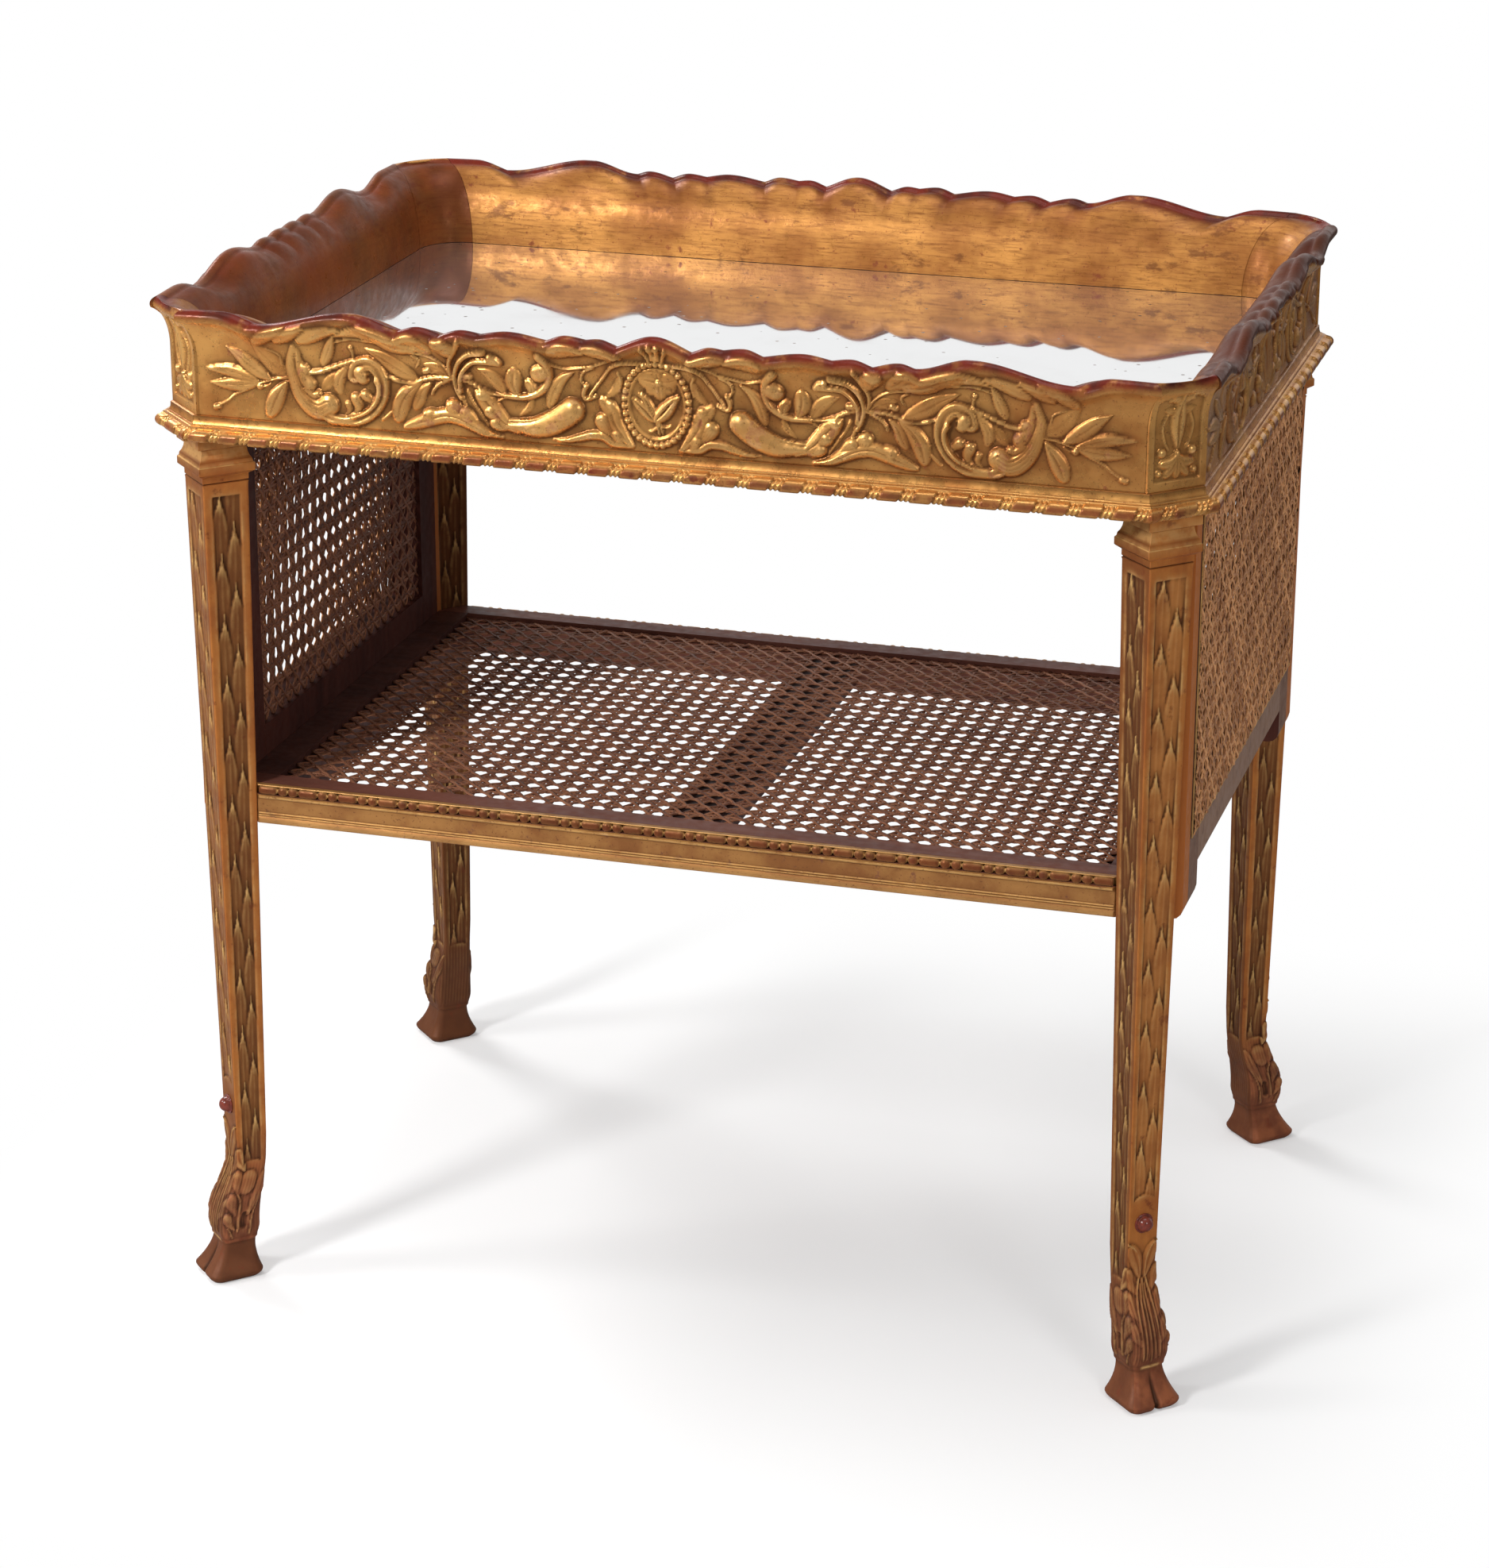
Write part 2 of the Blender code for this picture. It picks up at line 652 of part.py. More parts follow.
def stile_ring(z, corner, toe=0.0, lap=0.0):
    """Plan of a stile at this height, notched round the leg's corner and rebated by lap for the outer cane.
    The leg's axis is at the origin, +X looks out of the table's end and +Y along it to the other stile."""
    nose = corner + GAP * ROOT2
    outer = PANEL_THICKNESS - PANEL_INSET
    end = LEG_TOP_HALF * ROOT2 + STILE_WIDTH - GAP
    plan = [(-PANEL_INSET, nose - PANEL_INSET), (0.0, nose), (nose - STILE_FRONT, STILE_FRONT)]
    plan += [(outer - toe, STILE_FRONT), (outer - toe, end - CANE_LAP)]
    plan += [(outer - toe - lap, end - CANE_LAP + LAP_SLOPE), (outer - toe - lap, end), (-PANEL_INSET, end)]
    return [(x, y, z) for x, y in plan]


def stile_mesh():
    """A stile with a rounded toe, notched all the way up for the tapered leg and wider for its capital.
    Between the rails its outer face is rebated for the cane that laps over it."""
    rings = []
    for degrees in TOE_TURNS:
        turn = math.radians(degrees)
        z = SHELF_UNDER_Z + STILE_TOE * (1 - math.sin(turn))
        rings.append(stile_ring(z, leg_half(z) * ROOT2, STILE_TOE * (1 - math.cos(turn))))
    capital_foot = UNDER_Z - FLANGE_DROP - 2 * FLANGE_HEIGHT - GAP
    flange = FLANGE_HALF * ROOT2
    for z, corner, lap in (
        (CANE_Z0 - LAP_SLOPE, leg_half(CANE_Z0) * ROOT2, 0.0),
        (CANE_Z0, leg_half(CANE_Z0) * ROOT2, LAP_DEPTH),
        (capital_foot - NOTCH_SLOPE, leg_half(capital_foot) * ROOT2, LAP_DEPTH),
        (capital_foot, flange, LAP_DEPTH),
        (CANE_Z1, flange, LAP_DEPTH),
        (CANE_Z1 + LAP_SLOPE, flange, 0.0),
        (UNDER_Z - GAP, flange, 0.0),
    ):
        rings.append(stile_ring(z, corner, lap=lap))
    return loft("stile", rings)


def mirrored(mesh):
    """The same piece for the other hand, mirrored in Y."""
    work = bmesh.new()
    work.from_mesh(mesh)
    work.transform(Matrix.Scale(-1, 4, (0, 1, 0)))
    return mesh_of(mesh.name + "_mirrored", work)


def turned(mesh, turn):
    mesh.transform(Matrix.Rotation(turn, 4, "Z"))
    return mesh


def tenoned_rail_mesh(name, half, low, high):
    """A rail along Y with a stub tenon at each end. low and high are its (x, z) corners."""

    def ring(y, inset):
        left, bottom, right, top = low[0] + inset, low[1] + inset, high[0] - inset, high[1] - inset
        return [(left, y, bottom), (right, y, bottom), (right, y, top), (left, y, top)]

    ends = ((-half - STUB_LENGTH, STUB_INSET), (-half, STUB_INSET), (-half, 0.0))
    rings = [ring(y, inset) for y, inset in ends]
    rings += [ring(-y, inset) for y, inset in reversed(ends)]
    return loft(name, rings)


def stub_cutter(low, high, from_y, to_y):
    """Mortise for a stub tenon, with clearance all round."""
    inset = STUB_INSET - GAP
    return block(
        "stub_mortise",
        (low[0] + inset, from_y, low[1] + inset),
        (high[0] - inset, to_y, high[1] - inset),
    )


def build_panels():
    stile = stile_mesh()
    stile_other = mirrored(stile)
    opening_half = LEG_Y - LEG_TOP_HALF * ROOT2 - STILE_WIDTH
    bottom = ((PANEL_IN_X, SHELF_TOP_Z - PANEL_RAIL_DROP), (PANEL_OUT_X, CANE_Z0))
    top = ((PANEL_IN_X, CANE_Z1), (PANEL_OUT_X, UNDER_Z - GAP))
    cane_half = (CANE_Z1 - CANE_Z0) / 2 - GAP
    sheets = (
        ("outer", opening_half + CANE_LAP - LAP_SLOPE, PANEL_OUT_X - GAP - CANE_THICKNESS),
        ("inner", opening_half - GAP, PANEL_IN_X + CANE_DEPTH),
    )
    stub_end = opening_half + STUB_LENGTH + GAP
    for side, turn in (("right", 0.0), ("left", math.pi)):
        sign = round(math.cos(turn))
        for end, mesh, along in (("front", stile, -1), ("back", stile_other, 1)):
            if side == "left":
                mesh = stile_other if end == "front" else stile
            stile_at = (sign * LEG_X, along * LEG_Y, 0)
            made = place(f"panel_stile_{side}_{end}", mesh, BROWN_WOOD, stile_at, turn)
            span = sorted((sign * along * opening_half / 2, sign * along * stub_end))
            for low, high in (bottom, top):
                cut(made, stub_cutter(low, high, *span), (0, 0, 0), turn)
        for level, (low, high) in (("bottom", bottom), ("top", top)):
            rail = tenoned_rail_mesh("panel_rail", opening_half, low, high)
            place(f"panel_rail_{side}_{level}", rail, BROWN_WOOD, (0, 0, 0), turn)
        for face, sheet_half, x in sheets:
            sheet = upright(cane_mesh(sheet_half, cane_half))
            cane_at = (sign * x, 0, (CANE_Z0 + CANE_Z1) / 2)
            place(f"panel_cane_{side}_{face}", sheet, CANE, cane_at, turn)


# Shelf


def shelf_section():
    """(depth behind the face, drop below the top) once round the front rail's section."""
    cove_top = BEAD_HEIGHT + 2 * SHELF_FACE
    fillet = SHELF_COVE_DROP + SHELF_FACE
    face = [(BEAD_DEPTH, 0.0), (BEAD_DEPTH, BEAD_HEIGHT), (0.0, BEAD_HEIGHT), (0.0, cove_top)]
    for degrees in COVE_TURNS:
        turn = math.radians(degrees)
        depth = SHELF_FACE + (SHELF_COVE - SHELF_FACE) * math.sin(turn)
        face.append((depth, cove_top + (SHELF_COVE_DROP - cove_top) * (1 - math.cos(turn))))
    face += [(SHELF_FACE, SHELF_COVE_DROP), (SHELF_FACE, fillet)]
    face += [(2 * SHELF_FACE, fillet + SHELF_FACE), (SHELF_FACE, SHELF_HEIGHT)]
    inner = SHELF_MARGIN + LEDGE_WIDTH
    back = [(inner, SHELF_HEIGHT), (inner, LEDGE_DROP), (SHELF_MARGIN, LEDGE_DROP), (SHELF_MARGIN, 0.0)]
    return face + back


def shelf_rail_mesh():
    """The front rail, its face to -Y. Its ends follow the legs' inward sides and stop at the panels."""
    side = PANEL_IN_X - GAP

    def reach(depth, drop):
        across = LEG_X + LEG_Y - (leg_half(SHELF_TOP_Z - drop) + GAP) * ROOT2
        return min(across - (SHELF_FACE_Y - depth), side)

    def ring(sign):
        points = []
        for depth, drop in shelf_section():
            points.append((sign * reach(depth, drop), depth - SHELF_FACE_Y, SHELF_TOP_Z - drop))
        return points

    return loft("shelf_rail", [ring(-1), ring(1)])


def bead_strip_mesh():
    """Half-round strip that carries the bead and reel, in the rebate along the rail's top edge."""
    half_height = (BEAD_HEIGHT - GAP) / 2
    back = BEAD_DEPTH - GAP
    section = [(back, 2 * half_height), (back, 0.0)]
    for degrees in HALF_ROUND_TURNS:
        turn = math.radians(degrees)
        section.append((BEAD_ROUND * (1 - math.cos(turn)), half_height * (1 - math.sin(turn))))
    across = LEG_X + LEG_Y - (leg_half(SHELF_TOP_Z) + GAP) * ROOT2 - SHELF_FACE_Y
    rings = []
    for sign in (-1, 1):
        ring = []
        for depth, drop in section:
            ring.append((sign * (across + depth), depth - SHELF_FACE_Y, SHELF_TOP_Z - drop))
        rings.append(ring)
    return loft("bead_strip", rings)


def build_shelf():
    rail = shelf_rail_mesh()
    strip = bead_strip_mesh()
    stretcher_z = SHELF_TOP_Z - LEDGE_DROP - STRETCHER_DROP
    stretcher_low = (-STRETCHER_WIDTH / 2, stretcher_z - STRETCHER_HEIGHT)
    stretcher_high = (STRETCHER_WIDTH / 2, stretcher_z)
    stub_end = SHELF_IN_Y + STUB_LENGTH + GAP
    for side, turn in (("front", 0.0), ("back", math.pi)):
        made = place(f"shelf_rail_{side}", rail, WORN_GILT, (0, 0, 0), turn)
        mortise = stub_cutter(stretcher_low, stretcher_high, -stub_end, -SHELF_IN_Y / 2)
        cut(made, mortise, (0, 0, 0), turn)
        place(f"shelf_bead_{side}", strip, WORN_GILT, (0, 0, 0), turn)
    stretcher = tenoned_rail_mesh("stretcher", SHELF_IN_Y - GAP, stretcher_low, stretcher_high)
    place("shelf_stretcher", stretcher, BROWN_WOOD)

    outer = PANEL_IN_X - GAP
    edge = outer - SHELF_SIDE_MARGIN
    ledge_z = SHELF_TOP_Z - LEDGE_DROP
    lap_y = SHELF_IN_Y + LEDGE_WIDTH - GAP
    for side, turn in (("right", 0.0), ("left", math.pi)):
        low = (edge - LEDGE_WIDTH, -SHELF_IN_Y + GAP, SHELF_UNDER_Z)
        body = block("shelf_side", low, (outer, SHELF_IN_Y - GAP, ledge_z))
        made = place(f"shelf_side_rail_{side}", body, BROWN_WOOD, (0, 0, 0), turn)
        lap = block("shelf_lap", (edge, -lap_y, ledge_z + GAP), (outer, lap_y, SHELF_TOP_Z))
        neck = block("shelf_neck", (edge, low[1], ledge_z - GAP), (outer, -low[1], SHELF_TOP_Z - GAP))
        for added in (neck, lap):
            union(made, turned(added, turn))
    place("shelf_cane", cane_mesh(edge - GAP, lap_y), CANE, (0, 0, ledge_z + GAP))


clear_scene()
table = bpy.data.objects.new("serving_table", None)
bpy.context.collection.objects.link(table)
build_gallery()
build_tray_floor()
build_base()
build_legs()
build_panels()
build_shelf()
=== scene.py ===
"""Looks of the serving table: carved and gilded gallery, leafy legs, woven cane and an antiqued mirror."""

import math

import bpy
import numpy as np
from mathutils import Matrix, Vector


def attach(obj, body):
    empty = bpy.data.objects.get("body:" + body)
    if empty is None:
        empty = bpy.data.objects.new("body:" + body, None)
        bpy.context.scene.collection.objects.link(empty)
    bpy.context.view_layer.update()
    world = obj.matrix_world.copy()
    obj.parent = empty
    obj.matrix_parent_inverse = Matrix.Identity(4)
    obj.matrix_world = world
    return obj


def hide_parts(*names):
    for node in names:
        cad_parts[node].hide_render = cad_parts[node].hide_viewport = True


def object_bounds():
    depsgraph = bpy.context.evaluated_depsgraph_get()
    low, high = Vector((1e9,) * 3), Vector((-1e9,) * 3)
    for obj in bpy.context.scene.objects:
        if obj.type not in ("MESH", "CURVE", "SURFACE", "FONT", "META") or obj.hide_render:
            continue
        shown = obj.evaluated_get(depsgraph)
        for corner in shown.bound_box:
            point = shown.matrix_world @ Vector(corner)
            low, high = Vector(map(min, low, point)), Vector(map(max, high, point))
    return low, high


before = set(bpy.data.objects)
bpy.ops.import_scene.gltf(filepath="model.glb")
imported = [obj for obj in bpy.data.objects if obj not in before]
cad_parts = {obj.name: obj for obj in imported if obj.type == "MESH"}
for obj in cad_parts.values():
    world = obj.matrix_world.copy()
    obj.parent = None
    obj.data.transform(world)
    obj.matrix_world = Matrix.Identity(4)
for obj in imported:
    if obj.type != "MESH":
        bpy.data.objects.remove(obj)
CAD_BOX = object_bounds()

ROOT2 = math.sqrt(2)
MM = 1000

# Sizes of the part, in metres
GAP = 0.0003
HALF_LENGTH = 0.3755
HALF_DEPTH = 0.2595
CORNER_CUT = 0.033
CORNER_PROUD = 0.002
TRAY_FOOT_Z = 0.690
SEAT_Z = TRAY_FOOT_Z + GAP
RAIL_THICKNESS = 0.0265
CREST_HEIGHT = 0.0775
FLARE = 0.0115
FLARE_HEIGHT = 0.036
LIP_RADIUS = 0.0055
LIP_TURNS = (-25, 150)
CAVETTO_TURN = math.radians(70)
REBATE_WIDTH = 0.008
REBATE_HEIGHT = 0.017

# Corners of the table: name, side along X, side along Y and turn of the outward face
CORNERS = tuple(
    (name, x, y, math.atan2(y, x))
    for name, x, y in (("fl", -1, -1), ("fr", 1, -1), ("br", 1, 1), ("bl", -1, 1))
)

# Scalloped crest: (share of the half rail from its middle, rise above the crest height)
LONG_CREST = (
    (0.0, 0.0058), (0.077, -0.0032), (0.116, 0.001), (0.142, 0.0), (0.184, 0.0018), (0.224, -0.0025),
    (0.306, 0.0015), (0.363, -0.0015), (0.403, 0.0002), (0.445, -0.004), (0.499, 0.0), (0.53, -0.0028),
    (0.641, 0.006), (0.851, -0.0065), (0.925, 0.0005), (1.0, 0.0),
)
SHORT_CREST = (
    (0.0, -0.0015), (0.059, 0.0), (0.118, -0.0025), (0.182, -0.0005), (0.241, -0.003), (0.452, 0.005),
    (0.71, -0.007), (0.867, 0.0005), (1.0, 0.0),
)

# Mesh helpers


def clipped(value, most=1):
    return np.clip(value, 0, most)


def bell(value):
    return np.exp(-(value**2))


def grid_faces(rows, cols):
    """Quads over rows of points, each row closed to a ring."""
    i = np.arange(rows - 1)[:, None]
    j = np.arange(cols)[None, :]
    after = (j + 1) % cols
    quads = np.stack([i * cols + j, i * cols + after, (i + 1) * cols + after, (i + 1) * cols + j], -1)
    return quads.reshape(-1, 4)


def loft_faces(rows, cols):
    """Quads of a closed body through rings, with its two end rings filled."""
    faces = grid_faces(rows, cols).tolist()
    faces.append(list(range(cols))[::-1])
    faces.append([(rows - 1) * cols + j for j in range(cols)])
    return faces


def join(made, nodes):
    """Puts a piece in the scene, on the table, in the place of these nodes."""
    bpy.context.scene.collection.objects.link(made)
    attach(made, "root")
    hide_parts(*nodes)


def piece(name, points, faces, look, nodes, values=None, sharp=None):
    """A named piece. values are numbers at its points, sharp says which of its edges are crisp."""
    points = np.clip(np.asarray(points, float).reshape(-1, 3), *CAD_BOX)
    mesh = bpy.data.meshes.new(name)
    mesh.from_pydata(points.tolist(), [], faces)
    mesh.calc_loop_triangles()
    corners = np.empty(len(mesh.loop_triangles) * 3, np.int32)
    mesh.loop_triangles.foreach_get("vertices", corners)
    if np.linalg.det(points[corners.reshape(-1, 3)]).sum() < 0:
        mesh.flip_normals()
    mesh.shade_smooth()
    if callable(sharp):
        ends = np.empty(len(mesh.edges) * 2, np.int32)
        mesh.edges.foreach_get("vertices", ends)
        crisp = sharp(ends.reshape(-1, 2))
        mesh.attributes.new("sharp_edge", "BOOLEAN", "EDGE").data.foreach_set("value", crisp)
    elif sharp:
        mesh.set_sharp_from_angle(angle=math.radians(sharp))
    for key, field in (values or {}).items():
        layer = mesh.attributes.new(key, "FLOAT", "POINT")
        layer.data.foreach_set("value", np.asarray(field, np.float32).ravel())
    mesh.materials.append(look)
    join(bpy.data.objects.new(name, mesh), nodes)


def lofted(prefix, node, points, look, values=None, sharp=None):
    """A piece through rings of points. sharp may also be a tuple: the points of a ring with a crisp edge."""
    rows, cols = points.shape[:2]
    if isinstance(sharp, tuple):
        sharp = ring_sharp(rows, cols, sharp)
    piece(prefix + node, points, loft_faces(rows, cols), look, [node], values, sharp)


def turn_z(points, turn, place=(0, 0, 0)):
    """Points turned about the upright axis, then moved."""
    c, s = math.cos(turn), math.sin(turn)
    x, y, z = points[..., 0], points[..., 1], points[..., 2]
    return np.stack([x * c - y * s + place[0], x * s + y * c + place[1], z + place[2]], -1)


def ring_sharp(rows, cols, sharp_cols):
    """Edges along the sharp columns of a loft, and round its two ends."""
    wanted = np.zeros(cols, bool)
    wanted[list(sharp_cols)] = True

    def crisp(ends):
        row, col = ends // cols, ends % cols
        along = (col[:, 0] == col[:, 1]) & wanted[col[:, 0]]
        return along | (row[:, 0] == row[:, 1]) & ((row[:, 0] == 0) | (row[:, 0] == rows - 1))

    return crisp


def blurred(field, sigma):
    """Field smoothed both ways by a bell of this width, in cells."""
    reach = int(3 * sigma) + 1
    weights = np.exp(-0.5 * (np.arange(-reach, reach + 1) / sigma) ** 2)
    weights /= weights.sum()

    def smooth(line):
        return np.convolve(np.pad(line, reach, "edge"), weights, "valid")

    for axis in (0, 1):
        field = np.apply_along_axis(smooth, axis, field)
    return field


# Carving: strokes of a kind, half width, height and centre line, in millimetres
# Kinds: l leaf, v ribbed leaf, p rounded leaf, h horn, q pod, s stem, c scroll, b ball, d dent

BROADER = {"l": 1.2, "p": 1.3, "h": 1.4, "b": 1.1}
LINE_POINTS = 36


def spline(points, count):
    """Points along a smooth curve through the given ones."""
    p = np.array(points, float)
    if len(p) == 1:
        return np.vstack([p, p + (1e-4, 0)])
    if len(p) == 2:
        return p[0] + (p[1] - p[0]) * np.linspace(0, 1, 5)[:, None]
    around = np.vstack([2 * p[0] - p[1], p, 2 * p[-1] - p[-2]])
    t = np.linspace(0, 1, max(3, count // (len(p) - 1)), endpoint=False)[:, None]
    runs = []
    for a, b, c, d in zip(around, around[1:], around[2:], around[3:]):
        bend = (2 * a - 5 * b + 4 * c - d) * t**2 + (3 * b - a - 3 * c + d) * t**3
        runs.append((2 * b + (c - a) * t + bend) / 2)
    return np.vstack(runs + [p[-1:]])


def stroke_width(kind, t):
    """Share of a stroke's width at share t of its length."""
    if kind in "lv":
        return np.sin(np.pi * np.clip(t, 0.02, 0.985) ** 0.75) ** 0.85 * 0.97 + 0.03
    if kind == "p":
        grow = 0.22 + 0.78 * np.sin(np.pi / 2 * np.minimum(t / 0.62, 1))
        return grow * np.sqrt(1 - 0.93 * clipped((t - 0.62) / 0.38) ** 2)
    if kind == "h":
        return 0.3 + 0.7 * np.minimum(t / 0.85, 1)
    if kind == "q":
        return 0.30 + 0.70 * np.sin(np.pi / 2 * np.minimum(t / 0.75, 1))
    if kind in "sc":
        return 1 - 0.35 * t
    return np.ones_like(t)


def stroke_dome(kind, q, t):
    """Height of a stroke's section at share q of its half width and share t of its length."""
    q = clipped(q)
    dome = np.sqrt(1 - q**2)
    if kind in "lpv":
        rib = (0.6 if kind == "v" else 0.28) * bell(q / 0.15)
        crisp = np.sqrt(1 - q**3.4) * (1 - 0.3 * q)
        return crisp * (1 - rib) * (0.55 + 0.45 * np.sin(np.pi * clipped(t * 0.75 + 0.22)))
    if kind == "h":
        return dome * (0.45 + 0.55 * t) * (1 - 0.22 * np.cos(3 * np.pi * q) ** 2 * (1 - t / 2))
    if kind == "q":
        return dome * (0.6 + 0.4 * t)
    if kind == "c":
        return dome * (1 - 0.45 * bell((q - 0.1) / 0.4))
    return dome


def carve(x, z, strokes):
    """Height of the carving at the points (x, z), all in millimetres."""
    height = np.zeros_like(x)
    for kind, half, rise, points in strokes:
        half = half * BROADER.get(kind, 1.0)
        line = spline(points, LINE_POINTS)
        run = np.concatenate([[0], np.cumsum(np.hypot(*np.diff(line, axis=0).T))])
        t = run / run[-1]
        low, high = line.min(0) - half, line.max(0) + half
        near = (x > low[0]) & (x < high[0]) & (z > low[1]) & (z < high[1])
        if not near.any():
            continue
        px, pz = x[near], z[near]
        best = np.full(px.shape, 9.0)
        at = np.zeros(px.shape)
        wide = half * stroke_width(kind, t)
        for i in range(len(line) - 1):
            dx, dz = line[i + 1] - line[i]
            share = ((px - line[i, 0]) * dx + (pz - line[i, 1]) * dz) / max(dx * dx + dz * dz, 1e-9)
            share = clipped(share)
            off = np.hypot(px - line[i, 0] - share * dx, pz - line[i, 1] - share * dz)
            q = off / np.maximum(wide[i] + (wide[i + 1] - wide[i]) * share, 1e-3)
            closer = q < best
            best = np.where(closer, q, best)
            at = np.where(closer, t[i] + share * (t[i + 1] - t[i]), at)
        dome = np.where(best < 1, rise * stroke_dome(kind, best, at), 0)
        height[near] = height[near] - dome if kind == "d" else np.maximum(height[near], dome)
    return height


def shifted(strokes, by=0, flip=1):
    """The strokes moved along, or mirrored in the middle where flip is -1."""
    return tuple(
        (kind, half, rise, tuple((flip * x + by, z) for x, z in points))
        for kind, half, rise, points in strokes
    )


def paired(*strokes):
    """The strokes and their mirror images."""
    return strokes + shifted(strokes, flip=-1)


